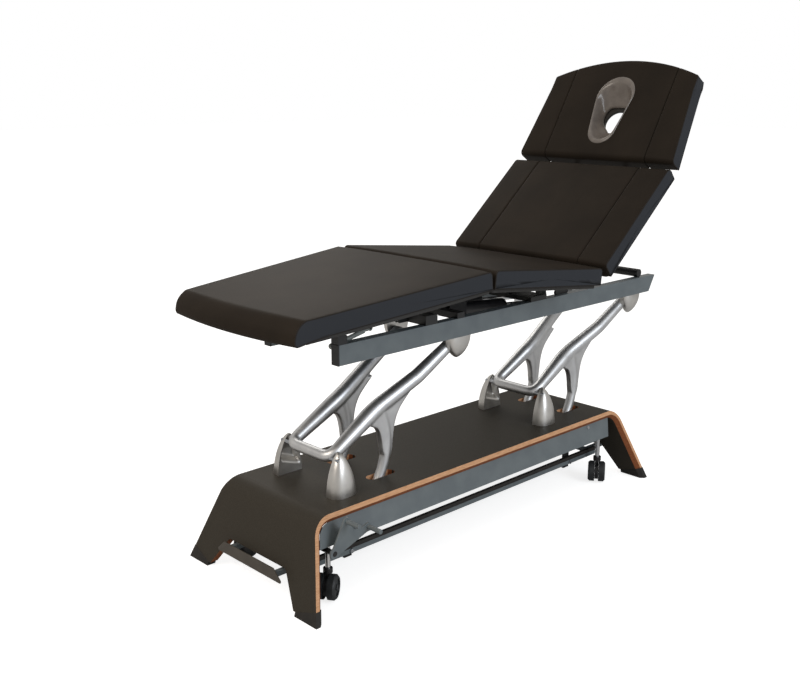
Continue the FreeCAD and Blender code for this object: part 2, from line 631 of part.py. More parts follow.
CASTORS = ("castor_foot", "(castor_foot + castor_span)")
CASTOR_SHAFTS = ("(castor_foot - treadshaft_back)", "(castor_foot + castor_span - treadshaft_back)")
ENDS = ("front", "rear")
PIVOTS = ("lower_foot", LOWER_HEAD)


def shield(inner, base, tip):
    """Loft with a flat inner side and a full outer side; base and tip give height, foot end, head end and outer face."""
    rings = []
    for high, start, end, outer in (base, tip):
        middle, half = (start + end) / 2, (end - start) / 2
        points = []
        for step in range(15):
            angle = math.pi * step / 14
            lean = abs(math.cos(angle)) ** 0.75 * (1 if step <= 7 else -1)
            points.append(V(middle + half * lean, inner + (outer - inner) * abs(math.sin(angle)) ** 0.6, high))
        rings.append(Part.makePolygon(points + points[:1]))
    body = doc.addObject("Part::Feature", "shield")
    body.Shape = Part.makeLoft(rings, True, True)
    return body


# Lower fins: cast shields that carry the lower pivots, flat inside and full outside, leaning in to the tip
def lower_fins():
    fins, shafts = [], []
    for end, pivot in zip(ENDS, PIVOTS):
        for name, sign in sides():
            outline = new_body("fin")
            tip_high = "(lower_high + fin_tip)"
            shape = [("%s - fin_foot" % pivot, "base_top"), ("%s + fin_head" % pivot, "base_top"),
                     ("%s + fin_head - 4" % pivot, "base_top + 45"), ("%s + fin_tip" % pivot, "lower_high - 10"),
                     ("%s + fin_tip" % pivot, tip_high), ("%s - fin_tip" % pivot, tip_high),
                     ("%s - fin_foot + 6" % pivot, "lower_high - 50")]
            blank = pad(outline, sketch_on(outline, "XZ_Plane", shape), "2 * fin_outer + 10", middle=True)
            soften(outline, blank, "fin_tip * 0.9",
                   lambda edge: parallel(V(0, 1, 0))(edge) and edge.CenterOfMass.z > size("lower_high"))
            at, low, high = size(pivot), size("base_top"), size(tip_high)
            side = shield(sign * size("fin_inner"), (low, at - size("fin_foot"), at + size("fin_head"), sign * size("fin_outer")),
                          (high + 1, at - size("fin_tip") - 2, at + size("fin_tip") + 2, sign * size("fin_outer_top")))
            fin = common(outline, side)
            y0, y1 = span(sign, "fin_inner - 1", "shaft_half + 0.3")
            bore = rod((pivot, "lower_high"), "shaft_round + fit", y0, y1)
            fins.append(cut(fin, bore))
        shafts.append(rod((pivot, "lower_high"), "shaft_round", "-shaft_half", "shaft_half"))
    finish(group(*fins), "lower_fins")
    finish(group(*shafts), "lower_shafts")


def route(points, radii):
    """Wire of straight runs joined by tangent arcs, with one radius for each inner point."""
    edges, start = [], points[0]
    for before, corner, after, radius in zip(points, points[1:], points[2:], radii):
        inward = (before - corner).normalize()
        outward = (after - corner).normalize()
        half = inward.getAngle(outward) / 2
        reach = radius / math.tan(half)
        first, last = corner + inward * reach, corner + outward * reach
        centre = corner + (inward + outward).normalize() * (radius / math.sin(half))
        middle = centre + (corner - centre).normalize() * radius
        edges += [Part.LineSegment(start, first).toShape(), Part.Arc(first, middle, last).toShape()]
        start = last
    edges.append(Part.LineSegment(start, points[-1]).toShape())
    return Part.Wire(edges)


def tapered(edges, radii):
    """Bar of many sides along joined lines and arcs; its radius goes evenly from one number to the next."""
    rings, across = [], V(0.2, 0.1, 1)
    for index, edge in enumerate(edges):
        turn = edge.tangentAt(edge.FirstParameter).getAngle(edge.tangentAt(edge.LastParameter))
        count = max(1, math.ceil(turn / math.radians(13)))
        for step in range(count + (index == len(edges) - 1)):
            share = step / count
            at = edge.FirstParameter + share * (edge.LastParameter - edge.FirstParameter)
            radius = radii[index] + share * (radii[index + 1] - radii[index])
            centre, along = edge.valueAt(at), edge.tangentAt(at)
            across = (across - along * across.dot(along)).normalize()
            other = along.cross(across)
            corners = [centre + (across * math.cos(part * math.pi / 9) + other * math.sin(part * math.pi / 9)) * radius
                       for part in range(19)]
            rings.append(Part.makePolygon(corners))
    return Part.makeLoft(rings, True, True)


def rounded_loop(points, share):
    """Closed wire of straight runs whose corners are tangent arcs that use a share of the shorter run beside them."""
    edges, joints = [], []
    count = len(points)
    for index, corner in enumerate(points):
        before, after = points[index - 1], points[(index + 1) % count]
        reach = share * min((before - corner).Length, (after - corner).Length)
        inward, outward = (before - corner).normalize(), (after - corner).normalize()
        first, last = corner + inward * reach, corner + outward * reach
        half = inward.getAngle(outward) / 2
        centre = corner + (inward + outward).normalize() * (reach / math.cos(half))
        middle = centre + (corner - centre).normalize() * (reach * math.tan(half))
        joints.append((first, middle, last))
    for index, (first, middle, last) in enumerate(joints):
        edges.append(Part.Arc(first, middle, last).toShape())
        edges.append(Part.LineSegment(last, joints[(index + 1) % count][0]).toShape())
    return Part.Wire(edges)


# Lift arms: cast aluminium, one cross tube, two arms, and two webbed branch legs that pass through the slots
def lift_arms():
    top_side, mid_side, low_side = size("arm_top_side"), size("arm_mid_side"), size("arm_low_side")
    run, rise = size("arm_run"), size("arm_rise")
    far = [V(0, low_side, 0), V(0.315 * run, mid_side, 0.35 * rise), V(0.84 * run, top_side - 6, 0.68 * rise),
           V(run, top_side, rise)]
    near = [V(point.x, -point.y, point.z) for point in reversed(far)]
    cross, low, high = size("cross_round"), size("arm_round_low"), size("arm_round_top")
    last = size("boss_half") - 1
    path = route(near + far, (40, 330, 110, 110, 330, 40))
    swell = [last, last + 0.5, high, high + 1, low, low, cross + 2, cross, cross + 2, low, low, high + 1, high, last + 0.5, last]
    axis = V(0, 1, 0)
    reach, bore = size("branch_reach"), size("shaft_round + fit")
    boss, half = size("boss_round"), size("boss_half")
    top, end = math.radians(size("branch_top")), -math.radians(size("branch_end"))
    thick, thin = size("branch_round"), size("branch_round_end")
    parts, bores = [tapered(path.Edges, swell)], [Part.makeCylinder(bore, 2 * low_side + 60, V(0, -low_side - 30, 0), axis)]
    web = [(0.20 * run, 0.26 * rise), (0.255 * run, 0.10 * rise), (0.30 * run, 0.105 * rise), (0.365 * run, 0.095 * rise),
           (0.42 * run, -0.02 * rise), (0.435 * run, -0.19 * rise), (0.50 * run, -0.19 * rise), (0.515 * run, 0.05 * rise),
           (0.55 * run, 0.24 * rise), (0.63 * run, 0.36 * rise), (0.74 * run, 0.47 * rise), (0.64 * run, 0.53 * rise),
           (0.33 * run, 0.38 * rise)]
    for sign in (-1, 1):
        side = sign * size("slot_side")

        def on_branch(angle):
            return V(reach * math.cos(angle), side, reach * math.sin(angle))

        arc = Part.Arc(on_branch(top), on_branch((top + end) / 2), on_branch(end)).toShape()
        parts.append(tapered([arc], (thick, thin)))
        outline = [V(x, side - size("web_half"), z) for x, z in web]
        plate_web = Part.Face(rounded_loop(outline, size("web_corner"))).extrude(V(0, 2 * size("web_half"), 0))
        rims = [edge for edge in plate_web.Edges if abs(abs(edge.CenterOfMass.y - side) - size("web_half")) < 0.01]
        parts.append(plate_web.makeChamfer(size("web_edge"), rims))
        for centre, middle in ((on_branch(end), side), (V(run, 0, rise), sign * top_side)):
            start = V(centre.x, middle - half, centre.z)
            parts.append(Part.makeCylinder(boss, 2 * half, start, axis))
            bores.append(Part.makeCylinder(bore, 2 * half + 10, start - axis * 5, axis))
    casting = parts[0]
    for part in parts[1:]:
        casting = casting.fuse(part)
    casting = casting.cut(Part.makeCompound(bores))
    for end_name, pivot in zip(ENDS, PIVOTS):
        arm = doc.addObject("Part::Feature", "lift_arm")
        arm.Shape = casting
        finish(arm, "lift_arm_" + end_name, x=pivot, z="lower_high")


BRANCH_X = "branch_reach * cos(branch_end)"
BRANCH_Z = "(lower_high - branch_reach * sin(branch_end))"


# Cranks under the base, the tie rod between them, the lift motor and its rod
def lift_drive():
    outer = "(slot_side + boss_half)"
    foot_x, head_x = "(lower_foot + %s)" % BRANCH_X, "(%s + %s)" % (LOWER_HEAD, BRANCH_X)
    pin_z = "(lower_high - crank_drop)"
    parts = [rod(("lower_foot", pin_z), "crank_pin", "-(crank_plate_in + crank_plate)", "crank_plate_in + crank_plate")]
    for name, sign in sides():
        y0, y1 = span(sign, "crank_plate_in", "crank_plate_in + crank_plate")
        parts.append(bar_between(("lower_foot", pin_z), (foot_x, BRANCH_Z), "crank_pin + 5", y0, y1))
        y0, y1 = span(sign, "crank_plate_in", outer)
        parts.append(rod((foot_x, BRANCH_Z), "shaft_round", y0, y1))
    finish(fuse(*parts), "crank_shaft_front")
    finish(rod((head_x, BRANCH_Z), "shaft_round", "-" + outer, outer), "crank_shaft_rear")
    bar = bar_between((foot_x, BRANCH_Z), (head_x, BRANCH_Z), "tie_high", "tie_side - tie_thick / 2",
                      "tie_side + tie_thick / 2", "shaft_round + fit", "shaft_round + fit")
    finish(bar, "tie_rod")
    motor = fuse(rod((0, "motor_high"), "motor_round", "motor_foot", "motor_gear", along="x"),
                 box("motor_gear", "motor_head", "-30", "30", "motor_high - 28", "motor_high + 20.6"))
    bore = rod((0, "motor_high"), "rod_round + gap", "motor_foot - 1", "motor_gear - 20", along="x")
    finish(cut(motor, bore), "lift_motor")
    eye_half = "(crank_pin + eye_play + 3.5)"
    eye = box("lower_foot - %s" % eye_half, "lower_foot + %s" % eye_half, "-(crank_plate_in - 1)",
              "crank_plate_in - 1", "motor_high - eye_slot - 12", "motor_high + eye_slot + 12")
    slot = box("lower_foot - crank_pin - eye_play", "lower_foot + crank_pin + eye_play", "-crank_plate_in",
               "crank_plate_in", "motor_high - eye_slot - 6.5", "motor_high + eye_slot + 6.5")
    shaft = rod((0, "motor_high"), "rod_round", "lower_foot + crank_pin + eye_play + 2", "motor_gear - 110", along="x")
    finish(cut(fuse(eye, shaft), slot), "lift_rod")


# Foot bar: a ring of flat bar under the base with rubber treads and a treadle at each end
def foot_bar():
    parts = []
    low, high = "bar_low", "bar_low + bar_high"
    for name, sign in sides():
        y0, y1 = span(sign, "bar_outer - bar_thick", "bar_outer")
        parts.append(box("-bar_half", "bar_half", y0, y1, low, high))
        for end in (-1, 1):
            y0, y1 = span(sign, "tongue_side - 8", "tongue_side + 8")
            x0, x1 = span(end, "bar_half - bar_thick", "treadle_at")
            parts.append(box(x0, x1, y0, y1, low, high))
    for end in (-1, 1):
        x0, x1 = span(end, "bar_half - bar_thick", "bar_half")
        parts.append(box(x0, x1, "-bar_outer", "bar_outer", low, high))
    holes, bolts, treads = [], [], []
    for name, sign in sides():
        y0, y1 = span(sign, "bar_outer - 12", "bar_outer")
        treads.append(box("-bar_half", "bar_half", y0, y1, high, high + " + tread_high"))
        for end in (-1, 1):
            centre = ("%d * bar_bolt_at" % end, "bar_low + bar_high / 2")
            y0, y1 = span(sign, "bar_outer - bar_thick - gap - hanger", "bar_outer + 2")
            holes.append(rod(centre, "bar_bolt + fit", y0, y1))
            h0, h1 = span(sign, "bar_outer", "bar_outer + 5")
            bolts.append(fuse(rod(centre, "bar_bolt", y0, y1), rod(centre, "bar_bolt + 3", h0, h1)))
    finish(cut(fuse(*parts), *holes), "foot_bar")
    finish(group(*treads), "foot_bar_tread")
    finish(group(*bolts), "foot_bar_bolts")
    treadles = []
    for end in (-1, 1):
        body = new_body("treadle")
        outline = [("-treadle_bottom", "treadle_low"), ("treadle_bottom", "treadle_low"),
                   ("treadle_bottom", "treadle_low + 8"), ("treadle_top", "treadle_low + treadle_rise"),
                   ("-treadle_top", "treadle_low + treadle_rise"), ("-treadle_bottom", "treadle_low + 8")]
        offset = "treadle_at" if end > 0 else "-(treadle_at + treadle_sheet)"
        blank = pad(body, sketch_on(body, "YZ_Plane", outline, offset), "treadle_sheet")
        soften(body, blank, 3, parallel(V(1, 0, 0)))
        treadles.append(body)
    finish(group(*treadles), "end_treadles")


# Castor carriages: a beam with two chrome stems, guide pins above and two lugs for the crank pins
def castors():
    pin_run = "lift_crank * cos(lift_crank_rise)"
    pin_high = "(treadshaft_high + lift_crank * sin(lift_crank_rise))"
    for end, at, shaft in zip(ENDS, CASTORS, CASTOR_SHAFTS):
        top = "carriage_low + carriage_high"
        parts = [box(at + " - carriage_half", at + " + carriage_half", "-(castor_side + 12)", "castor_side + 12",
                     "carriage_low", top)]
        slots = []
        pin_at = "(%s + %s)" % (shaft, pin_run)
        for name, sign in sides():
            side = "%d * castor_side" % sign
            parts.append(rod((at, side), "stem_round", "collar_low + 1", "carriage_low", along="z"))
            parts.append(rod((at, "%d * guide_side" % sign), "guide_round", "carriage_low", UNDER + " - 2.5", along="z"))
            y0, y1 = span(sign, "lug_side - 4", "lug_side + 4")
            parts.append(box(pin_at + " - 14", pin_at + " + 14", y0, y1, pin_high + " - 11", top))
            slots.append(box(pin_at + " - lift_pin - 3", pin_at + " + lift_pin + 3", y0 + " - 1", y1 + " + 1",
                             pin_high + " - lift_pin - 0.5", pin_high + " + lift_pin + 0.5"))
        finish(cut(fuse(*parts), *slots), "castor_carriage_" + end)
        near = "(pedal_side + pedal_sheet)" if end == "front" else "(castor_side - 6)"
        parts = [rod((shaft, "treadshaft_high"), "treadshaft_round", "-" + near, "castor_side - 6")]
        for name, sign in sides():
            y0, y1 = span(sign, "lug_side + 5", "lug_side + 11")
            parts.append(bar_between((shaft, "treadshaft_high"), (pin_at, pin_high), "8", y0, y1))
            y0, y1 = span(sign, "lug_side - 4", "lug_side + 11")
            parts.append(rod((pin_at, pin_high), "lift_pin", y0, y1))
        lever_low = "(treadshaft_high - link_lever)"
        parts.append(bar_between((shaft, "treadshaft_high"), (shaft, lever_low), "8", "link_side + 3", "link_side + 8"))
        parts.append(rod((shaft, lever_low), "lift_pin", "link_side - 3", "link_side + 8"))
        finish(fuse(*parts), "castor_shaft_" + end)
        # Forks and wheels, turned to their heading
        for name, sign in sides():
            side = "%d * castor_side" % sign
            web = fuse(rod(("-castor_trail", "castor_high"), "wheel_round * 0.78", "-(wheel_inner - gap)", "wheel_inner - gap"),
                       rod((0, 0), "collar_round", "collar_low", "collar_low + collar_high", along="z"),
                       box("-castor_trail", "8", "-(wheel_inner - gap)", "wheel_inner - gap", "castor_high", "collar_low + 1"))
            stem_bore = rod((0, 0), "stem_round + fit", "collar_low + 1 - gap", "200", along="z")
            axle_bore = rod(("-castor_trail", "castor_high"), "axle_round + fit", "-20", "20")
            fork = cut(web, stem_bore, axle_bore)
            finish(fork, "castor_fork_%s_%s" % (end, name), x=at, y=side, turn="castor_turn", axis=V(0, 0, 1))
            outer = "(wheel_inner + wheel_wide)"
            wheels = [rod((0, 0), "axle_round", "-" + outer, outer)]
            hollows = []
            for edge in (-1, 1):
                y0, y1 = span(edge, "wheel_inner", outer)
                wheels.append(rod((0, 0), "wheel_round", y0, y1))
                y0, y1 = span(edge, outer + " - 4", outer + " + 1")
                hollows.append(cut(rod((0, 0), "wheel_hub", y0, y1), rod((0, 0), "axle_round + 5", y0, y1)))
            wheel = doc.addObject("Part::Chamfer", "wheel")
            wheel.Base = fuse(*wheels)
            rims = edges_where(wheel.Base, lambda edge: edge.Curve.TypeId == "Part::GeomCircle"
                               and abs(edge.Curve.Radius - size("wheel_round")) < 0.1
                               and abs(edge.CenterOfMass.y) > size("wheel_inner + 1"))
            wheel.Edges = [(int(rim[4:]), 6.0, 6.0) for rim in rims]
            where_x = "%s - castor_trail * cos(castor_turn)" % at
            where_y = "%s - castor_trail * sin(castor_turn)" % side
            finish(cut(wheel, *hollows), "castor_wheels_%s_%s" % (end, name), x=where_x, y=where_y,
                   z="castor_high", turn="castor_turn", axis=V(0, 0, 1))
    lever_low = "(treadshaft_high - link_lever)"
    bar = bar_between((CASTOR_SHAFTS[0], lever_low), (CASTOR_SHAFTS[1], lever_low), "8", "link_side - 2.5",
                      "link_side + 2.5", "lift_pin + fit", "lift_pin + fit")
    finish(bar, "castor_link")
    # Pedal on the near end of the front castor shaft
    hub = (CASTOR_SHAFTS[0], "treadshaft_high")
    y0, y1 = span(-1, "pedal_side", "pedal_side + pedal_sheet")
    p0, p1 = span(-1, "pedal_side + 1", "pedal_side + pedal_sheet + peg_long")
    arms = []
    for run, rise in (("peg_high_run", "peg_high_rise"), ("peg_low_run", "peg_low_rise")):
        peg = ("(%s + %s)" % (hub[0], run), "(%s + %s)" % (hub[1], rise))
        arms += [bar_between(hub, peg, "12", y0, y1), rod(peg, "peg_round", p0, p1)]
    pegs = [("(%s + %s)" % (hub[0], run), "(%s + %s)" % (hub[1], rise))
            for run, rise in (("peg_low_run", "peg_low_rise"), ("peg_high_run", "peg_high_rise"))]
    web = plate([hub, pegs[0], ("%s + 72" % hub[0], "%s + 52" % hub[1]), pegs[1]], y0, y1)
    pedal = fuse(rod(hub, "16", y0, y1), web, *arms)
    finish(cut(pedal, rod(hub, "treadshaft_round + fit", y0 + " - 1", y1 + " + 1")), "castor_pedals")


UPPER_PIVOTS = ("(lower_foot + arm_run)", "(%s + arm_run)" % LOWER_HEAD)
UPPER_HIGH = "(lower_high + arm_rise)"
RAIL_TOP = "(rail_low + rail_high)"
RAIL_OUTER = "(rail_inner + rail_thick)"


DRIVE_X = "(hip_run + drive_lever * cos(drive_angle))"
DRIVE_Z = "(hip_high - drive_lever * sin(drive_angle))"


def motor_beam():
    """Cross beam on the rails with the cheeks that hold the tails of the panel motors."""
    tail_x = "(%s - (drive_far + 12) * cos(drive_tilt))" % DRIVE_X
    tail_z = "(%s + (drive_far + 12) * sin(drive_tilt))" % DRIVE_Z
    parts = [box(tail_x + " - 50", tail_x + " - 18", "-" + RAIL_OUTER, RAIL_OUTER, RAIL_TOP, RAIL_TOP + " + 18")]
    for sign in (-1, 1):
        for edge in (-1, 1):
            inner, outer = span(edge, "8", "13")
            y0, y1 = "%d * drive_side + %s" % (sign, inner), "%d * drive_side + %s" % (sign, outer)
            parts.append(box(tail_x + " - 19", tail_x + " + 9", y0, y1, tail_z + " - 9", RAIL_TOP + " + 18"))
    return fuse(*parts)


# Upper frame: two hollow rails with slanted head ends, end caps, pivot fins and cross members
def upper_frame():
    for name, sign in sides():
        y0, y1 = span(sign, "rail_inner", RAIL_OUTER)
        i0, i1 = span(sign, "rail_inner + rail_wall", RAIL_OUTER + " - rail_wall")
        outline = [("rail_foot", "rail_low"), ("rail_head - rail_head_cut", "rail_low"), ("rail_head", RAIL_TOP),
                   ("rail_foot", RAIL_TOP)]
        hollow = box("rail_foot - 1", "rail_head - rail_head_cut - 6", i0, i1, "rail_low + rail_wall",
                     RAIL_TOP + " - rail_wall")
        finish(cut(plate(outline, y0, y1, 1), hollow), "rail_" + name)
    caps, fins, pins = [], [], []
    for name, sign in sides():
        y0, y1 = span(sign, "rail_inner", RAIL_OUTER)
        caps.append(box("rail_foot - cap_sheet", "rail_foot", y0, y1, "rail_low", RAIL_TOP))
        outline = [("rest_block_start", RAIL_TOP), ("rest_block_start + rest_block_long", RAIL_TOP),
                   ("rest_block_start + rest_block_long", RAIL_TOP + " + rest_block_high - 8"),
                   ("rest_block_start", RAIL_TOP + " + rest_block_high")]
        caps.append(plate(outline, y0, y1, 4))
        f0, f1 = span(sign, "rail_inner", "upper_fin_outer")
        for end, pivot in zip(ENDS, UPPER_PIVOTS):
            middle = pivot + " + upper_fin_ahead"
            outline = [(middle + " - upper_fin_half", "rail_low"), (middle + " + upper_fin_half", "rail_low"),
                       (pivot + " + upper_fin_tip + 3", UPPER_HIGH + " - 2"),
                       (pivot + " + 12", UPPER_HIGH + " - upper_fin_low"),
                       (pivot + " - 12", UPPER_HIGH + " - upper_fin_low"), (pivot + " - upper_fin_tip", UPPER_HIGH)]
            blank = plate(outline, f0, f1, 4)
            at, tip_high = size(pivot), size(UPPER_HIGH + " - upper_fin_low")
            full = shield(sign * size("rail_inner"),
                          (size("rail_low"), size(middle + " - upper_fin_half"), size(middle + " + upper_fin_half"),
                           sign * size("upper_fin_outer")),
                          (tip_high - 1, at - 24, at + 24, sign * size("upper_fin_outer_tip")))
            p0, p1 = span(sign, "arm_top_side - boss_half + 2", "rail_inner + upper_fin_thick - 1")
            b0, b1 = span(sign, "rail_inner - 1", "rail_inner + upper_fin_thick - 1 + fit")
            fins.append(cut(common(blank, full), rod((pivot, UPPER_HIGH), "shaft_round + fit", b0, b1)))
            pins.append(rod((pivot, UPPER_HIGH), "shaft_round", p0, p1))
    finish(group(*caps), "rail_caps_and_rests")
    finish(group(*fins), "upper_fins")
    hip_bar = rod(("hip_run", "hip_high"), "hip_shaft", "-hip_bracket_out", "hip_bracket_out")
    finish(group(hip_bar, *pins), "upper_pins_and_hip_shaft")
    for end, pivot in zip(ENDS, UPPER_PIVOTS):
        bushes = []
        for name, sign in sides():
            b0, b1 = span(sign, "arm_top_side + boss_half", "rail_inner - gap")
            ring = rod((pivot, UPPER_HIGH), "boss_round", b0, b1)
            bushes.append(cut(ring, rod((pivot, UPPER_HIGH), "shaft_round + fit", b0 + " - 1", b1 + " + 1")))
        finish(group(*bushes), "upper_bushes_" + end)
    hip = []
    for name, sign in sides():
        y0, y1 = span(sign, "hip_bracket_out - 8", "hip_bracket_out")
        outline = [("hip_run - 40", RAIL_TOP), ("hip_run + 40", RAIL_TOP), ("hip_run + 16", "hip_high + 14"),
                   ("hip_run - 16", "hip_high + 14")]
        bracket = plate(outline, y0, y1, 8)
        hip.append(cut(bracket, rod(("hip_run", "hip_high"), "hip_shaft + fit", y0 + " - 1", y1 + " + 1")))
    finish(group(*hip), "hip_brackets")
    # Leg beam with the cheeks that hold the leg links
    parts = [box("beam_start", "beam_start + beam_long", "-" + RAIL_OUTER, RAIL_OUTER, RAIL_TOP, RAIL_TOP + " + beam_high")]
    for name, sign in sides():
        for inner, outer in (("link_place - link_thick / 2 - gap - 5", "link_place - link_thick / 2 - gap"),
                             ("link_place + link_thick / 2 + gap", "link_place + link_thick / 2 + gap + 5")):
            y0, y1 = span(sign, inner, outer)
            parts.append(box("link_base_run - 11", "beam_start + 1", y0, y1, RAIL_TOP + " + 1", "link_base_high + 11"))
        y0, y1 = span(sign, "link_place - link_thick / 2 - gap - 5", "link_place + link_thick / 2 + gap + 5")
        parts.append(rod(("link_base_run", "link_base_high"), "link_pin", y0, y1))
    middle = box("mid_beam_start", "mid_beam_start + mid_beam_long", "-" + RAIL_OUTER, RAIL_OUTER, RAIL_TOP,
                 RAIL_TOP + " + mid_beam_high")
    rest_bar = rod(("rest_bar_at", RAIL_TOP + " + rest_bar_round"), "rest_bar_round", "-rest_bar_half",
                   "rest_bar_half")
    finish(group(fuse(*parts), middle, motor_beam(), rest_bar), "cross_beams")


# Panels: each lies along X from its pivot when flat, with its cushion top a fixed height over the pivot
PAD_LOW = "(top_drop - pad_thick)"
BOARD_LOW = "(top_drop - pad_thick - board)"


def slab(outline, low, high, radius=None, vertical=None):
    """Slab with an outline in X and Y between two heights, with rounded corners on request."""
    body = new_body("slab")
    feature = pad(body, sketch_on(body, "XY_Plane", outline, low), "(%s) - (%s)" % (high, low))
    if vertical is not None:
        feature = soften(body, feature, vertical, parallel(V(0, 0, 1)))
    if radius is not None:
        level = size(high)
        soften(body, feature, radius, lambda edge: abs(edge.CenterOfMass.z - level) < 0.01)
    return body


def rectangle(x0, x1, half):
    return [(x0, "-(%s)" % half), (x1, "-(%s)" % half), (x1, half), (x0, half)]


def panel_frame(turn, brackets_at, drive_sign, direction):
    """Hinge plates under a board, with hubs round the hip shaft and a forked lever to its drive pin."""
    lever = ("drive_lever * cos(drive_angle - (%s))" % turn, "-drive_lever * sin(drive_angle - (%s))" % turn)
    parts = []

    def leaf(y0, y1):
        outline = [(0, "-hub_round + 1"), ("%d * bracket_reach" % direction, BOARD_LOW + " - 10"),
                   ("%d * bracket_reach" % direction, BOARD_LOW), (0, BOARD_LOW)]
        bore = rod((0, 0), "hip_shaft + fit", y0 + " - 1", y1 + " + 1")
        return fuse(plate(outline, y0, y1), rod((0, 0), "hub_round", y0, y1)), bore

    for side, sign in sides():
        blade, bore = leaf(*span(sign, brackets_at, "%s + hub_plate" % brackets_at))
        parts.append(cut(blade, bore))
    fork = []
    for edge in (-1, 1):
        inner, outer = span(edge, "drive_eye + gap", "drive_eye + gap + hub_plate")
        y0, y1 = "%d * drive_side + %s" % (drive_sign, inner), "%d * drive_side + %s" % (drive_sign, outer)
        blade, bore = leaf(y0, y1)
        fork.append(cut(fuse(blade, bar_between((0, 0), lever, "hub_round * 0.8", y0, y1)), bore))
    y0 = "%d * drive_side - drive_eye - gap - hub_plate" % drive_sign
    y1 = "%d * drive_side + drive_eye + gap + hub_plate" % drive_sign
    parts.append(fuse(rod(lever, "drive_pin", y0, y1), *fork))
    return group(*parts)


def arched(outline, low, high, radius_text, centre, round_text):
    """Slab cut to an arched end by a large cylinder, with its upper edges rounded."""
    blank = slab(outline, low, high)
    disc = rod((centre, 0), radius_text, low + " - 1", high + " + 1", along="z")
    shaped = common(blank, disc)
    if round_text is None:
        return shaped
    level = size(high)
    edges = edges_where(shaped, lambda edge: abs(edge.CenterOfMass.z - level) < 0.01)
    rounded = doc.addObject("Part::Fillet", "rounded")
    rounded.Base = shaped
    rounded.Edges = [(int(edge[4:]), size(round_text), size(round_text)) for edge in edges]
    return rounded


KNEE_X = "(hip_run - knee_reach * cos(seat_rise))"
KNEE_Z = "(hip_high + knee_reach * sin(seat_rise))"
HINGE_X = "(back_end + head_hinge_gap)"
HINGE_Z = "(top_drop - head_hinge_drop)"
HEAD_X = "(hip_run + %s * cos(back_rise) - %s * sin(back_rise))" % (HINGE_X, HINGE_Z)
HEAD_Z = "(hip_high + %s * sin(back_rise) + %s * cos(back_rise))" % (HINGE_X, HINGE_Z)
SEAT_AT = dict(x="hip_run", z="hip_high", turn="seat_rise")
LEG_AT = dict(x=KNEE_X, z=KNEE_Z, turn="-leg_fall")
BACK_AT = dict(x="hip_run", z="hip_high", turn="-back_rise")
HEAD_AT = dict(x=HEAD_X, z=HEAD_Z, turn="-(back_rise + head_rise)")


# Seat: cushion and board between the hip and the knee pivots
def seat():
    knee_end = "-(knee_reach + seat_past_knee)"
    finish(slab(rectangle(knee_end, "-seat_start", "pad_side"), PAD_LOW, "top_drop", "pad_round", 12),
           "seat_cushion", **SEAT_AT)
    finish(slab(rectangle(knee_end + " + 3", "-seat_start - 3", "pad_side - board_inset"), BOARD_LOW, PAD_LOW,
                None, 20), "seat_board", **SEAT_AT)
    leaves = [panel_frame("seat_rise", "seat_bracket_side", 1, -1)]
    for side, sign in sides():
        y0, y1 = span(sign, "knee_side", "knee_side + hub_plate")
        outline = [("-knee_reach", "-knee_hub"), ("-knee_reach + 100", BOARD_LOW + " - 8"),
                   ("-knee_reach + 100", BOARD_LOW), ("-knee_reach + 2", BOARD_LOW), ("-knee_reach", "knee_hub")]
        parts = fuse(plate(outline, y0, y1), rod(("-knee_reach", 0), "knee_hub", y0, y1))
        leaves.append(cut(parts, rod(("-knee_reach", 0), "knee_pin + fit", y0 + " - 1", y1 + " + 1")))
        y0, y1 = span(sign, "knee_side - 2", "knee_side + 2 * hub_plate + gap + 2")
        leaves.append(rod(("-knee_reach", 0), "knee_pin", y0, y1))
    finish(group(*leaves), "seat_brackets", **SEAT_AT)


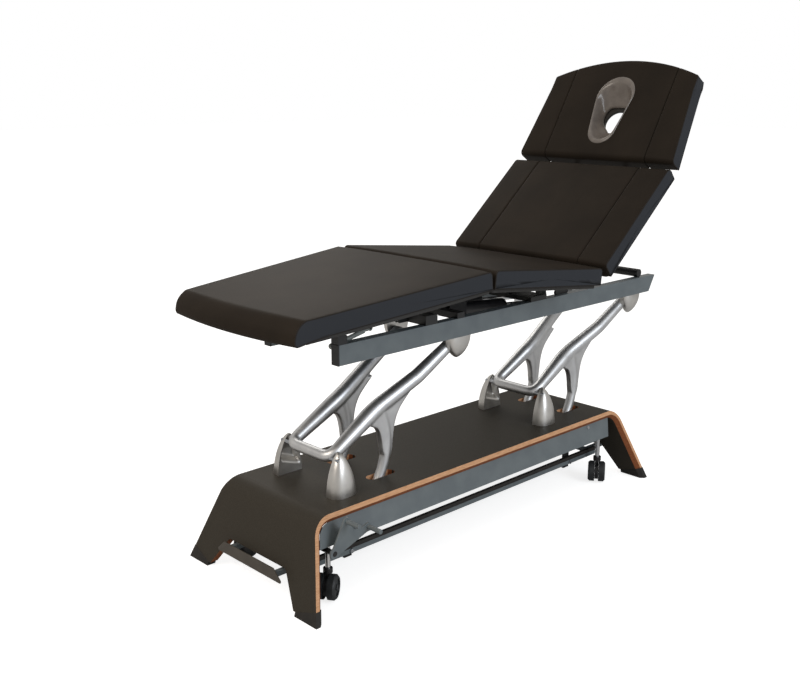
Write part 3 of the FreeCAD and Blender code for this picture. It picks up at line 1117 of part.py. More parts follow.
# Leg section: tapered, bowed cushion, its board, hinges, the link brackets and the release lever
def leg():
    start = "-(seat_past_knee + knee_gap)"
    bow_radius = "((leg_side_foot^2 + leg_bow^2) / (2 * leg_bow))"

    def outline(inset, first):
        half = "pad_side - %s" % inset
        foot = "leg_side_foot - %s" % inset
        end = "-(leg_reach - %s)" % inset
        rows = [(first, half), ("0.35 * (%s)" % end, "(%s) - 0.22 * ((%s) - (%s))" % (half, half, foot)),
                ("0.7 * (%s)" % end, "(%s) - 0.58 * ((%s) - (%s))" % (half, half, foot)), (end, foot)]
        lower = [(x, "-(%s)" % y) for x, y in rows]
        return lower + list(reversed(rows))

    cushion = arched(outline(0, start), PAD_LOW, "top_drop", bow_radius, "-leg_reach + %s" % bow_radius, "pad_round")
    finish(cushion, "leg_cushion", **LEG_AT)
    board_radius = "(%s - board_inset)" % bow_radius
    plain = arched(outline("board_inset", start + " - 3"), BOARD_LOW, PAD_LOW, board_radius,
                   "-leg_reach + board_inset + %s" % board_radius, None)
    finish(plain, "leg_board", **LEG_AT)
    leaves = []
    for side, sign in sides():
        y0, y1 = span(sign, "knee_side + hub_plate + gap", "knee_side + 2 * hub_plate + gap")
        leaf = plate([(0, "-knee_hub"), (0, "knee_hub"), (-9, BOARD_LOW), (-100, BOARD_LOW),
                      (-100, BOARD_LOW + " - 8")], y0, y1)
        parts = fuse(leaf, rod((0, 0), "knee_hub", y0, y1))
        leaves.append(cut(parts, rod((0, 0), "knee_pin + fit", y0 + " - 1", y1 + " + 1")))
    run, drop = "(link_foot_run - %s)" % KNEE_X, "(link_foot_high - %s)" % KNEE_Z
    pin = ("(%s * cos(leg_fall) + %s * sin(leg_fall))" % (run, drop),
           "(%s * cos(leg_fall) - %s * sin(leg_fall))" % (drop, run))
    for side, sign in sides():
        parts = []
        for inner, outer in (("link_place - link_thick / 2 - gap - 5", "link_place - link_thick / 2 - gap"),
                             ("link_place + link_thick / 2 + gap", "link_place + link_thick / 2 + gap + 5")):
            outline_xz = [(pin[0] + " - 16", BOARD_LOW), (pin[0] + " - 12", pin[1] + " - 11"),
                          (pin[0] + " + 12", pin[1] + " - 11"), (pin[0] + " + 74", BOARD_LOW)]
            parts.append(plate(outline_xz, *span(sign, inner, outer)))
        parts.append(rod(pin, "link_pin", *span(sign, "link_place - link_thick / 2 - gap - 5",
                                                "link_place + link_thick / 2 + gap + 5")))
        leaves.append(fuse(*parts))
    links = []
    for side, sign in sides():
        y0, y1 = span(sign, "link_place - link_thick / 2", "link_place + link_thick / 2")
        links.append(bar_between(("link_base_run", "link_base_high"), ("link_foot_run", "link_foot_high"),
                                 "link_pin + link_play + 5", y0, y1, "link_pin + fit", "link_pin + link_play"))
    finish(group(*links), "leg_links")
    # Release lever under the near edge of the leg section
    run, drop = "(lever_tip_run - %s)" % KNEE_X, "(lever_tip_high - %s)" % KNEE_Z
    pivot = ("(%s * cos(leg_fall) + %s * sin(leg_fall))" % (run, drop),
             "(%s * cos(leg_fall) - %s * sin(leg_fall))" % (drop, run))
    outline_xz = [(pivot[0] + " - 30", BOARD_LOW), (pivot[0] + " - 9", pivot[1] + " - 9"),
                  (pivot[0] + " + 9", pivot[1] + " - 9"), (pivot[0] + " + 30", BOARD_LOW)]
    bracket = plate(outline_xz, "-(lever_side - 5)", "-(lever_side - 10)")
    stud = rod(pivot, "lever_round", "-(lever_side + 5)", "-(lever_side - 6)")
    finish(group(fuse(bracket, stud), *leaves), "leg_brackets", **LEG_AT)
    slope = "atan((lever_tip_high - ball_high) / (lever_tip_run - ball_run))"
    long = "sqrt((lever_tip_high - ball_high)^2 + (lever_tip_run - ball_run)^2)"
    hub = cut(rod((0, 0), "grip_round + 1", "-4.5", "4.5"), rod((0, 0), "lever_round + fit", "-6", "6"))
    shank = rod((0, 0), "lever_round", "-" + long, "-grip_round", along="x")
    grip = rod((0, 0), "grip_round", "-(%s - 6)" % long, "-24", along="x")
    ball = doc.addObject("Part::Sphere", "ball")
    bind(ball, Radius="ball_round")
    ball.setExpression("Placement.Base.x", link("-" + long))
    finish(fuse(hub, shank, grip, ball), "leg_release_lever", x="lever_tip_run", y="-lever_side", z="lever_tip_high",
           turn="-" + slope)


# Back section: cushion, board, brackets and the leaves of the head hinge
def back():
    finish(slab(rectangle("back_start", "back_end", "pad_side"), PAD_LOW, "top_drop", "pad_round", 12),
           "back_cushion", **BACK_AT)
    finish(slab(rectangle("back_start + 3", "back_end - 3", "pad_side - board_inset"), BOARD_LOW, PAD_LOW, None, 20),
           "back_board", **BACK_AT)
    leaves = [panel_frame("-back_rise", "back_bracket_side", -1, 1)]
    for side, sign in sides():
        y0, y1 = span(sign, "head_hinge_side", "head_hinge_side + hub_plate")
        outline = [("back_end - 90", BOARD_LOW + " - 8"), (HINGE_X, HINGE_Z + " - knee_hub"),
                   (HINGE_X, HINGE_Z + " + knee_hub"), ("back_end", BOARD_LOW), ("back_end - 90", BOARD_LOW)]
        parts = fuse(plate(outline, y0, y1), rod((HINGE_X, HINGE_Z), "knee_hub", y0, y1))
        leaves.append(cut(parts, rod((HINGE_X, HINGE_Z), "knee_pin + fit", y0 + " - 1", y1 + " + 1")))
        y0, y1 = span(sign, "head_hinge_side - 2", "head_hinge_side + 2 * hub_plate + gap + 2")
        leaves.append(rod((HINGE_X, HINGE_Z), "knee_pin", y0, y1))
    finish(group(*leaves), "back_brackets", **BACK_AT)


def teardrop(start, end, small, large, low, high):
    """Upright prism round two circles joined by their common tangents, the large one at the far end."""
    small, large = "(%s)" % small, "(%s)" % large
    near, far = "(%s + %s)" % (start, small), "(%s - %s)" % (end, large)
    lean = "asin((%s - %s) / (%s - %s))" % (large, small, far, near)
    points = []
    for centre, radius in ((near, small), (far, large)):
        points.append(("%s - %s * sin(%s)" % (centre, radius, lean), "%s * cos(%s)" % (radius, lean)))
    outline = points + [(x, "-(%s)" % y) for x, y in reversed(points)]
    return fuse(slab(outline, low, high), rod((near, 0), small, low, high, along="z"),
                rod((far, 0), large, low, high, along="z"))


# Head section: arched cushion and board with the face opening, its insert and the hinge leaves
def head():
    low, top = "(head_hinge_drop - pad_thick)", "head_hinge_drop"
    board_low = "(head_hinge_drop - pad_thick - board)"
    rise = "(head_mid - head_edge)"
    radius = "((head_shoulder^2 + %s^2) / (2 * %s))" % (rise, rise)
    face = "head_start + "

    def outline(inset):
        first, last = "head_start + %s" % inset, "head_start + head_mid - %s" % inset
        rows = [(first, "pad_side - %s" % inset), ("head_start + head_edge - %s" % inset, "head_shoulder - %s" % inset),
                (last, "head_shoulder - 8 - %s" % inset)]
        lower = [(x, "-(%s)" % y) for x, y in rows]
        return lower + list(reversed(rows))

    cushion = arched(outline("0"), low, top, radius, "head_start + head_mid - %s" % radius, "pad_round")
    window = teardrop(face + "face_start", face + "face_end", "face_small", "face_half", board_low + " - 1", top + " + 1")
    finish(cut(cushion, window), "head_cushion", **HEAD_AT)
    board_radius = "(%s - board_inset)" % radius
    plain = arched(outline("board_inset"), board_low, low, board_radius,
                   "head_start + head_mid - board_inset - %s" % board_radius, None)
    opening = teardrop(face + "face_hole_start", face + "face_hole_end", "face_hole_small", "face_hole_half",
                       board_low + " - 1", top + " + 5")
    finish(cut(plain, opening), "head_board", **HEAD_AT)
    ring = teardrop(face + "face_start + gap", face + "face_end - gap", "face_small - gap", "face_half - gap",
                    low, top + " - 4")
    finish(cut(ring, opening), "face_insert", **HEAD_AT)
    leaves = []
    for side, sign in sides():
        y0, y1 = span(sign, "head_hinge_side + hub_plate + gap", "head_hinge_side + 2 * hub_plate + gap")
        leaf = plate([(0, "-knee_hub"), (110, board_low + " - 8"), (110, board_low), ("head_start", board_low),
                      (0, "knee_hub")], y0, y1)
        parts = fuse(leaf, rod((0, 0), "knee_hub", y0, y1))
        leaves.append(cut(parts, rod((0, 0), "knee_pin + fit", y0 + " - 1", y1 + " + 1")))
    finish(group(*leaves), "head_brackets", **HEAD_AT)


# Panel motors in the upper frame, sloping down to the drive pins, and their rods
def panel_motors():
    motors = []
    for name, sign in (("seat", 1), ("back", -1)):
        where = dict(x=DRIVE_X, y="%d * drive_side" % sign, z=DRIVE_Z, turn="drive_tilt")
        tube = rod((0, 0), "drive_tube", "-drive_far", "-drive_near", along="x")
        case = box("-drive_far", "-drive_far + 78", "-drive_tube - 3", "drive_tube + 3", "-drive_tube", "drive_tube + 6")
        tail = rod(("-(drive_far + 12)", 0), "12", "-7.7", "7.7")
        neck = box("-(drive_far + 12)", "-drive_far", "-7.7", "7.7", "-12", "12")
        bore = rod((0, 0), "drive_rod + gap", "-drive_near - 180", "-drive_near + 1", along="x")
        motors.append(place(cut(fuse(tube, case, tail, neck), bore), shift=False, **where))
        half = "(drive_pin + drive_play + 5)"
        high = "(drive_pin + drive_slot + 5)"
        eye = box("-" + half, half, "-drive_eye", "drive_eye", "-" + high, high)
        slot = box("-drive_pin - drive_play", "drive_pin + drive_play", "-drive_eye - 1", "drive_eye + 1",
                   "-drive_pin - drive_slot", "drive_pin + drive_slot")
        shaft = rod((0, 0), "drive_rod", "-drive_near - 110", "-drive_pin - drive_play - 1", along="x")
        finish(cut(fuse(eye, shaft), slot), name + "_rod", **where)
    finish(group(*motors), "panel_motors")


doc.recompute()
base_shell()
foot_pads()
side_panels()
subframe()
lower_fins()
lift_arms()
lift_drive()
foot_bar()
castors()
upper_frame()
seat()
leg()
back()
head()
panel_motors()
doc.recompute()

for thing in doc.Objects:
    if "Invalid" in thing.State or "Error" in thing.State:
        raise RuntimeError("%s (%s) failed: %s" % (thing.Name, thing.Label, thing.State))
os.makedirs("parts", exist_ok=True)
for thing in FINISHED:
    if thing.Shape.isNull() or not thing.Shape.isValid():
        raise RuntimeError("%s has no valid shape" % thing.Label)
    thing.Shape.exportStep("parts/%s.step" % thing.Label)
print(len(FINISHED), "sub-parts")
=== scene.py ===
# Treatment table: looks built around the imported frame, in metres, +X towards the head end.
import json
import math
import bmesh
import bpy
import numpy as np
from mathutils import Matrix, Vector


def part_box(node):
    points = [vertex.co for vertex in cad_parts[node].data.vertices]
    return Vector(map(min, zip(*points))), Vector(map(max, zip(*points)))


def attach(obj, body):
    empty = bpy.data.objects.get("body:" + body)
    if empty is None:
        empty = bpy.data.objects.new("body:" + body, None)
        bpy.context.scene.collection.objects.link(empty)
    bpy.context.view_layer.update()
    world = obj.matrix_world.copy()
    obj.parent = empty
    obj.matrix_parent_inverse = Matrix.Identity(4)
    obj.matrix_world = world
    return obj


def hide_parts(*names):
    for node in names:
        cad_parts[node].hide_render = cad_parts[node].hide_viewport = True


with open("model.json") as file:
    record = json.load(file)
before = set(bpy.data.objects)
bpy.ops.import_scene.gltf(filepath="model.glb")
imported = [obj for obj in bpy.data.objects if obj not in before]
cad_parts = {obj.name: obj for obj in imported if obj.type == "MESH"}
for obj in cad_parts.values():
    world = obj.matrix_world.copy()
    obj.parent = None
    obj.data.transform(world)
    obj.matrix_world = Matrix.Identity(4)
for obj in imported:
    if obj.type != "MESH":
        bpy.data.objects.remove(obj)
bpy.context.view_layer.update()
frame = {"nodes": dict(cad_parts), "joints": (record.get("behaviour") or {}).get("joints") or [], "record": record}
nodes = frame["nodes"]
joints = {joint["name"]: joint for joint in frame["joints"]}

# Room: a white floor and white surroundings, with soft studio lights at the left, at the right and behind.
# The camera stands where the photograph was taken from, a little above the cushions at the foot end.
CAMERA_AT = (-2.4821, -2.2649, 1.4331)
CAMERA_YAW = 43.84
CAMERA_DOWN = 14.37
CAMERA_LENS = 45.97
SENSOR_WIDTH = 36
FLOOR_REACH = 30
LAMP_AIM = Vector((0, 0, 0.7))
LAMPS = (("key_lamp", (-3.4, 0.2, 3.2), 2.6, 70, "#fff4e8"),
         ("side_lamp", (0.4, -4.2, 2.2), 2.4, 84, "#e6edf6"),
         ("back_lamp", (1.6, 3.4, 3.0), 2.2, 30, "#f3efe9"))


def linear(code):
    """Linear red, green, blue and alpha from an sRGB hex code: the standard sRGB curve."""
    parts = [int(code[i:i + 2], 16) / 255 for i in (1, 3, 5)]
    return [c / 12.92 if c <= 0.04045 else ((c + 0.055) / 1.055) ** 2.4 for c in parts] + [1.0]


def add(tree, kind, links=None, **settings):
    """Add a node, set its properties, and give each input in links a value or another node's output."""
    node = tree.nodes.new(kind)
    for name, value in settings.items():
        setattr(node, name, value)
    for name, value in (links or {}).items():
        if isinstance(value, bpy.types.NodeSocket):
            tree.links.new(value, node.inputs[name])
        else:
            node.inputs[name].default_value = value
    return node


def linked(name, data):
    """Object that holds the data, put into the scene."""
    made = bpy.data.objects.new(name, data)
    bpy.context.scene.collection.objects.link(made)
    return made


def new_material(name):
    """Empty node material with its node tree."""
    material = bpy.data.materials.new(name)
    material.use_nodes = True
    material.node_tree.nodes.clear()
    return material, material.node_tree


def seen_straight(tree):
    """1 for what the camera sees directly or through glass, 0 for the light that falls on the object."""
    ray = add(tree, "ShaderNodeLightPath")
    kinds = {0: ray.outputs["Is Camera Ray"], 1: ray.outputs["Is Transmission Ray"]}
    return add(tree, "ShaderNodeMath", kinds, operation="MAXIMUM").outputs[0]


camera_data = bpy.data.cameras.new("photo_camera")
camera_data.lens = CAMERA_LENS
camera_data.sensor_width = SENSOR_WIDTH
camera = linked("photo_camera", camera_data)
camera.location = CAMERA_AT
camera.rotation_euler = (math.radians(90 - CAMERA_DOWN), 0, math.radians(-CAMERA_YAW))
bpy.context.scene.camera = camera
bpy.context.scene.view_settings.view_transform = "Standard"

world = bpy.data.worlds.new("studio")
bpy.context.scene.world = world
world.use_nodes = True
world.node_tree.nodes.clear()
tree = world.node_tree
soft = add(tree, "ShaderNodeBackground", {"Color": linear("#ece9e4"), "Strength": 0.6})
white = add(tree, "ShaderNodeBackground", {"Color": (1, 1, 1, 1), "Strength": 1.0})
mixed = add(tree, "ShaderNodeMixShader", {0: seen_straight(tree), 1: soft.outputs[0], 2: white.outputs[0]})
add(tree, "ShaderNodeOutputWorld", {"Surface": mixed.outputs[0]})

floor_mesh = bpy.data.meshes.new("floor")
floor_corners = [(FLOOR_REACH * x, FLOOR_REACH * y, 0) for x, y in ((-1, -1), (1, -1), (1, 1), (-1, 1))]
floor_mesh.from_pydata(floor_corners, [], [(0, 1, 2, 3)])
floor = linked("floor", floor_mesh)
paper, tree = new_material("white_paper_floor")
plain = add(tree, "ShaderNodeBsdfDiffuse", {"Color": linear("#cfcfcf")})
bright = add(tree, "ShaderNodeEmission", {"Color": (1, 1, 1, 1), "Strength": 0.78})
both = add(tree, "ShaderNodeAddShader", {0: plain.outputs[0], 1: bright.outputs[0]})
shown = add(tree, "ShaderNodeMixShader", {0: seen_straight(tree), 1: plain.outputs[0], 2: both.outputs[0]})
add(tree, "ShaderNodeOutputMaterial", {"Surface": shown.outputs[0]})
floor_mesh.materials.append(paper)

for name, place, across, power, colour in LAMPS:
    lamp_data = bpy.data.lights.new(name, "AREA")
    lamp_data.shape = "DISK"
    lamp_data.size = across
    lamp_data.energy = power
    lamp_data.color = linear(colour)[:3]
    lamp = linked(name, lamp_data)
    lamp.location = place
    lamp.rotation_euler = (LAMP_AIM - Vector(place)).to_track_quat("-Z", "Y").to_euler()


# Base: bent beech plywood with a matt dark laminate on both faces, its long edges bevelled and lacquered.
# The CAD node is kept, and the material tells the laminate from the cut edges by the way that they face:
# the laminate looks flat and dull, and the edges look warm and streaked along the veneers. The square edges are
# light tan, and the bevels get a darker brown that is painted shade.
def surface(tree, **values):
    """Shader that a material ends in, wired to its output; keys are socket names with _ for a space."""
    sockets = {key.replace("_", " "): value for key, value in values.items()}
    shader = add(tree, "ShaderNodeBsdfPrincipled", sockets)
    add(tree, "ShaderNodeOutputMaterial", {"Surface": shader.outputs[0]})
    return shader


def mottled(tree, millimetres, detail=2.0, stretch=(1, 1, 1)):
    """Cloudy value on Object coordinates; features have about that size, and stretch draws them out."""
    place = add(tree, "ShaderNodeTexCoord")
    scaled = add(tree, "ShaderNodeMapping", {"Vector": place.outputs["Object"], "Scale": stretch})
    return add(tree, "ShaderNodeTexNoise", {"Vector": scaled.outputs[0], "Scale": 1000 / millimetres,
                                            "Detail": detail, "Roughness": 0.5}).outputs[0]


def tones(tree, value, stops):
    """Colour by the value, from pairs of position and hex colour."""
    node = add(tree, "ShaderNodeValToRGB", {"Fac": value})
    elements = node.color_ramp.elements
    for element, (position, code) in zip(elements, (stops[0], stops[-1])):
        element.position = position
        element.color = linear(code)
    for position, code in stops[1:-1]:
        elements.new(position).color = linear(code)
    return node.outputs[0]


def roughen(tree, shader, height, millimetres, strength):
    """Give the shader a relief of that depth from the height."""
    settings = {"Height": height, "Distance": millimetres / 1000, "Strength": strength}
    tree.links.new(add(tree, "ShaderNodeBump", settings).outputs[0], shader.inputs["Normal"])


def facing_sideways(tree):
    """How far a face looks to the side, 0 to 1: the size of its normal's part along Y."""
    facing = add(tree, "ShaderNodeNewGeometry")
    parts = add(tree, "ShaderNodeSeparateXYZ", {"Vector": facing.outputs["True Normal"]})
    return add(tree, "ShaderNodeMath", {0: parts.outputs["Y"]}, operation="ABSOLUTE").outputs[0]


def dress(name, material):
    """Give a CAD node its material in every slot."""
    mesh = nodes[name].data
    mesh.materials.clear()
    mesh.materials.append(material)


plywood, tree = new_material("laminated_beech_plywood")
sideways = facing_sideways(tree)
cut = add(tree, "ShaderNodeMapRange", {"Value": sideways, "From Min": 0.10, "From Max": 0.12})
outer = add(tree, "ShaderNodeMapRange", {"Value": sideways, "From Min": 0.85, "From Max": 0.88})
veneer = mottled(tree, 1.4, detail=3, stretch=(0.05, 0.3, 1))
strip = tones(tree, veneer, ((0.3, "#b98a64"), (0.55, "#d2a27c"), (0.8, "#dfb48f")))
# Painted shade: the bevel faces get the same edge wood in a darker brown, as if they lay in shade.
bevel_wood_painted_shade = tones(tree, veneer, ((0.3, "#6d4029"), (0.6, "#8b5435"), (0.8, "#9c6240")))
edge_wood_and_bevel_shade = add(tree, "ShaderNodeMix", {0: outer.outputs[0], 6: bevel_wood_painted_shade, 7: strip}, data_type="RGBA")
laminate = tones(tree, mottled(tree, 3.0, detail=4), ((0.3, "#36322c"), (0.7, "#3f3b34")))
colour = add(tree, "ShaderNodeMix", {0: cut.outputs[0], 6: laminate, 7: edge_wood_and_bevel_shade.outputs[2]},
             data_type="RGBA")
shader = surface(tree, Base_Color=colour.outputs[2], Roughness=0.5, Specular_IOR_Level=0.09)
roughen(tree, shader, mottled(tree, 0.9, detail=3), 0.05, 0.5)
dress("base_shell", plywood)


# Steel parts: folded sheet and tube with a satin powder coat in blue-grey, black or bronze, baked on.
# The coat hides the metal, shows a fine orange peel and leaves each sharp edge a little round.
BODY_OF = {name: body for body, names in frame["record"]["behaviour"]["bodies"].items() for name in names}


def merged_copy(name, round_mm=0.0, angle=35):
    """A CAD node's mesh with its doubles merged, shaded smooth up to an angle, and its edges rounded."""
    mesh = nodes[name].data.copy()
    made = bmesh.new()
    made.from_mesh(mesh)
    bmesh.ops.remove_doubles(made, verts=made.verts, dist=1e-6)
    bmesh.ops.dissolve_limit(made, angle_limit=math.radians(0.5), verts=made.verts, edges=made.edges)
    made.to_mesh(mesh)
    made.free()
    mesh.name = name + "_finished"
    piece = linked(name + "_finished", mesh)
    if round_mm:
        edge = piece.modifiers.new("coat_round", "BEVEL")
        edge.width = round_mm / 1000
        edge.segments = 2
        edge.limit_method = "ANGLE"
        edge.angle_limit = math.radians(angle)
        edge.harden_normals = False
        edge.use_clamp_overlap = True
    mesh.shade_smooth()
    mesh.set_sharp_from_angle(angle=math.radians(angle))
    return piece


def stand_for(piece, name, material):
    """The piece takes the CAD node's place and body, the CAD node is hidden, and the piece gets the material."""
    piece.data.materials.clear()
    piece.data.materials.append(material)
    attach(piece, BODY_OF[name])
    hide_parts(name)
    return piece


def coat(name, low, high, roughness, peel=0.03):
    """Powder coat: two near colours in a cloudy mix and a fine orange peel."""
    material, tree = new_material(name)
    colour = tones(tree, mottled(tree, 60), ((0.35, low), (0.65, high)))
    shader = surface(tree, Base_Color=colour, Roughness=roughness)
    roughen(tree, shader, mottled(tree, 1.6), peel, 0.6)
    return material


steel_coat = coat("blue_grey_powder_coat", "#5f676b", "#676f72", 0.36)
black_coat = coat("black_powder_coat", "#141516", "#1b1c1d", 0.42)
bronze_coat = coat("bronze_powder_coat", "#3a342c", "#433d34", 0.4)
for name in ("side_panels", "foot_bar", "castor_pedals", "rail_near", "rail_far"):
    stand_for(merged_copy(name, 0.8), name, steel_coat)
for name in ("subframe", "hip_brackets", "cross_beams", "seat_brackets", "back_brackets", "leg_brackets",
             "head_brackets", "castor_shaft_front", "castor_shaft_rear", "castor_link"):
    stand_for(merged_copy(name, 0.5), name, black_coat)
stand_for(merged_copy("end_treadles", 0.8), "end_treadles", bronze_coat)


# Lift arms: each is one aluminium casting, a bent tube with two webbed branches, ground to a dull shine.
# The metal is bright but not mirror-like, and the sand mould leaves a very low waviness.
# The branches go down through the slots in the base to the cranks, and every end is bored for its pin.
ARM_RUN = 0.476
ARM_RISE = 0.266
ARM_PATH = ((0.0, 0.092, 0.0), (0.40 * ARM_RUN, 0.083, 0.405 * ARM_RISE),
            (0.72 * ARM_RUN, 0.110, 0.70 * ARM_RISE), (ARM_RUN, 0.118, ARM_RISE))
ARM_BENDS = (0.110, 0.330, 0.034, 0.034, 0.330, 0.110)
ARM_STATIONS = (0, 0.06, 0.12, 0.26, 0.50, 0.63, 0.70)
ARM_RADII = (0.0182, 0.0182, 0.0205, 0.0262, 0.0228, 0.0200, 0.0150)
ACROSS_ARM = (-0.5, 0.0, 0.866)
WEB_SIDE = 0.092
WEB_HALF = 0.0125
WEB_OUTLINE = ((0.30, 0.30), (0.34, 0.215), (0.385, 0.19), (0.415, 0.06), (0.43, -0.21),
               (0.505, -0.21), (0.52, 0.05), (0.535, 0.22), (0.575, 0.36), (0.64, 0.47),
               (0.72, 0.60), (0.55, 0.50), (0.42, 0.42))
BRANCH_REACH = 0.225
BRANCH_TOP = math.radians(32)
BRANCH_END = math.radians(-72)
BOSS_ROUND = 0.0178
BOSS_HALF = 0.0155
BORE_ROUND = 0.0072
BORE_REACH = 0.2
SWEEP_STEP = 0.006
CAST_VOXEL = 0.0022
CAST_SMOOTHING = 30


def metal(name, low, high, roughness, wave=0.05):
    """Bare or plated metal with a slow waviness and cloudy gloss."""
    material, tree = new_material(name)
    cloud = mottled(tree, 40, detail=3)
    gloss = add(tree, "ShaderNodeMapRange", {"Value": cloud, "To Min": roughness * 0.85,
                                             "To Max": roughness * 1.2})
    colour = tones(tree, cloud, ((0.35, low), (0.65, high)))
    shader = surface(tree, Base_Color=colour, Metallic=1.0, Roughness=gloss.outputs[0])
    roughen(tree, shader, mottled(tree, 25, detail=1), wave, 0.5)
    return material


def skinned(name, points, faces):
    """Smooth mesh of the points and faces, with every face turned outwards."""
    mesh = bpy.data.meshes.new(name)
    mesh.from_pydata(points.tolist(), [], faces)
    made = bmesh.new()
    made.from_mesh(mesh)
    bmesh.ops.recalc_face_normals(made, faces=made.faces)
    made.to_mesh(mesh)
    made.free()
    mesh.shade_smooth()
    return mesh


def closed_grid(name, grid):
    """Mesh of a grid of rings, each closed on itself, with a fan over the first and the last."""
    rows_n, across = grid.shape[:2]
    index = np.arange(rows_n * across).reshape(rows_n, across)
    around = np.roll(index, -1, 1)
    walls = np.stack([index[:-1], index[1:], around[1:], around[:-1]], -1).reshape(-1, 4)
    points = np.vstack([grid.reshape(-1, 3), grid[0].mean(0), grid[-1].mean(0)])
    first, last = len(points) - 2, len(points) - 1
    start = np.column_stack([np.full(across, first), index[0], around[0]])
    end = np.column_stack([np.full(across, last), around[-1], index[-1]])
    return skinned(name, points, walls.tolist() + start.tolist() + end.tolist())


def bent_line(corners, bends):
    """Line through the corners, each cut by a quadratic curve that starts bend * tan(half turn) before it."""
    corners = np.array(corners, float)
    share = np.linspace(0, 1, 12)[:, None]
    pieces = [corners[:1]]
    for before, corner, after, bend in zip(corners, corners[1:], corners[2:], bends):
        back = (before - corner) / np.linalg.norm(before - corner)
        on = (after - corner) / np.linalg.norm(after - corner)
        reach = bend * np.tan((np.pi - np.arccos(np.clip(back @ on, -1, 1))) / 2)
        first, last = corner + back * reach, corner + on * reach
        pieces.append((1 - share) ** 2 * first + 2 * share * (1 - share) * corner + share ** 2 * last)
    pieces.append(corners[-1:])
    return np.concatenate(pieces)


def swept(line, stations, radii, reference):
    """Rings of circles along the line at even steps, square to it.

    The radius follows the distance from the line's middle, read between the stations."""
    length = np.concatenate([[0], np.cumsum(np.linalg.norm(np.diff(line, axis=0), axis=1))])
    at = np.linspace(0, length[-1], int(length[-1] / SWEEP_STEP) + 2)
    path = np.column_stack([np.interp(at, length, line[:, k]) for k in range(3)])
    run = np.gradient(path, axis=0)
    run /= np.linalg.norm(run, axis=1)[:, None]
    side = np.cross(run, reference)
    side /= np.linalg.norm(side, axis=1)[:, None]
    up = np.cross(side, run)
    thick = np.interp(abs(at - length[-1] / 2), stations, radii)[:, None, None]
    turn = np.linspace(0, 2 * np.pi, 24, endpoint=False)[None, :, None]
    return path[:, None] + thick * (np.cos(turn) * side[:, None] + np.sin(turn) * up[:, None])


def pin_rings(x, z, radius, low, high):
    """Two circles about an axis along Y, the ends of a round pin from low to high."""
    turn = np.linspace(0, 2 * np.pi, 32, endpoint=False)
    circle = np.column_stack([x + radius * np.cos(turn), np.zeros(32), z + radius * np.sin(turn)])
    return np.array([circle + (0, low, 0), circle + (0, high, 0)])


def web_mesh(side):
    """Flat plate in the web's outline, its corners cut three times at a quarter of their runs."""
    ring = np.array(WEB_OUTLINE) * (ARM_RUN, ARM_RISE)
    for _ in range(3):
        ahead = np.roll(ring, -1, 0)
        ring = np.stack([0.75 * ring + 0.25 * ahead, 0.25 * ring + 0.75 * ahead], 1).reshape(-1, 2)
    count = len(ring)
    flat = np.column_stack([ring[:, 0], np.full(count, side * WEB_SIDE), ring[:, 1]])
    index = np.arange(count)
    around = np.roll(index, -1)
    walls = np.column_stack([index, around, around + count, index + count]).tolist()
    caps = [index[::-1].tolist(), (index + count).tolist()]
    return skinned("web", np.vstack([flat - (0, WEB_HALF, 0), flat + (0, WEB_HALF, 0)]), walls + caps)


def one_mesh(name, meshes, place):
    """All the meshes as one, moved to their place."""
    made = bmesh.new()
    for mesh in meshes:
        made.from_mesh(mesh)
    whole = bpy.data.meshes.new(name)
    made.to_mesh(whole)
    made.free()
    whole.transform(Matrix.Translation(place))
    return whole


def drilled(piece, cutter_mesh, solver, angle):
    """Cut the mesh out of the piece and make all its modifiers part of its mesh, sharp past the angle."""
    cutter = linked("cutter", cutter_mesh)
    hole = piece.modifiers.new("hole", "BOOLEAN")
    hole.object = cutter
    hole.operation = "DIFFERENCE"
    hole.solver = solver
    bpy.context.view_layer.update()
    shaped = bpy.data.meshes.new_from_object(piece.evaluated_get(bpy.context.evaluated_depsgraph_get()))
    piece.modifiers.clear()
    piece.data = shaped
    shaped.set_sharp_from_angle(angle=math.radians(angle))
    bpy.data.objects.remove(cutter)


def cast_arm(name, pivot):
    """Tube, branches, webs and bosses run into one skin, smoothed as a casting is, and bored for the pins."""
    corners = [(x, -y, z) for x, y, z in reversed(ARM_PATH)] + list(ARM_PATH)
    tube = swept(bent_line(corners, ARM_BENDS), ARM_STATIONS, ARM_RADII, ACROSS_ARM)
    end_x, end_z = BRANCH_REACH * math.cos(BRANCH_END), BRANCH_REACH * math.sin(BRANCH_END)
    top_side = ARM_PATH[-1][1]
    angle = np.linspace(BRANCH_TOP, BRANCH_END, 40)
    arc = np.column_stack([BRANCH_REACH * np.cos(angle), np.zeros(40), BRANCH_REACH * np.sin(angle)])
    solids = [closed_grid("tube", tube)]
    for side in (-1, 1):
        branch = swept(arc + (0, side * WEB_SIDE, 0), (0.0, 0.2), (0.0168, 0.0160), (0, 1, 0))
        solids.append(closed_grid("branch", branch))
        solids.append(web_mesh(side))
        for x, middle, z in ((end_x, side * WEB_SIDE, end_z), (ARM_RUN, side * top_side, ARM_RISE)):
            boss = pin_rings(x, z, BOSS_ROUND, middle - BOSS_HALF, middle + BOSS_HALF)
            solids.append(closed_grid("boss", boss))
    piece = linked(name + "_casting", one_mesh(name + "_casting", solids, pivot))
    skin = piece.modifiers.new("even_skin", "REMESH")
    skin.mode = "VOXEL"
    skin.voxel_size = CAST_VOXEL
    skin.use_smooth_shade = True
    blend = piece.modifiers.new("blend", "SMOOTH")
    blend.factor = 0.5
    blend.iterations = CAST_SMOOTHING
    pins = [closed_grid("pin", pin_rings(x, z, BORE_ROUND, -BORE_REACH, BORE_REACH))
            for x, z in ((0, 0), (end_x, end_z), (ARM_RUN, ARM_RISE))]
    drilled(piece, one_mesh("drill", pins, pivot), "MANIFOLD", 60)
    return piece


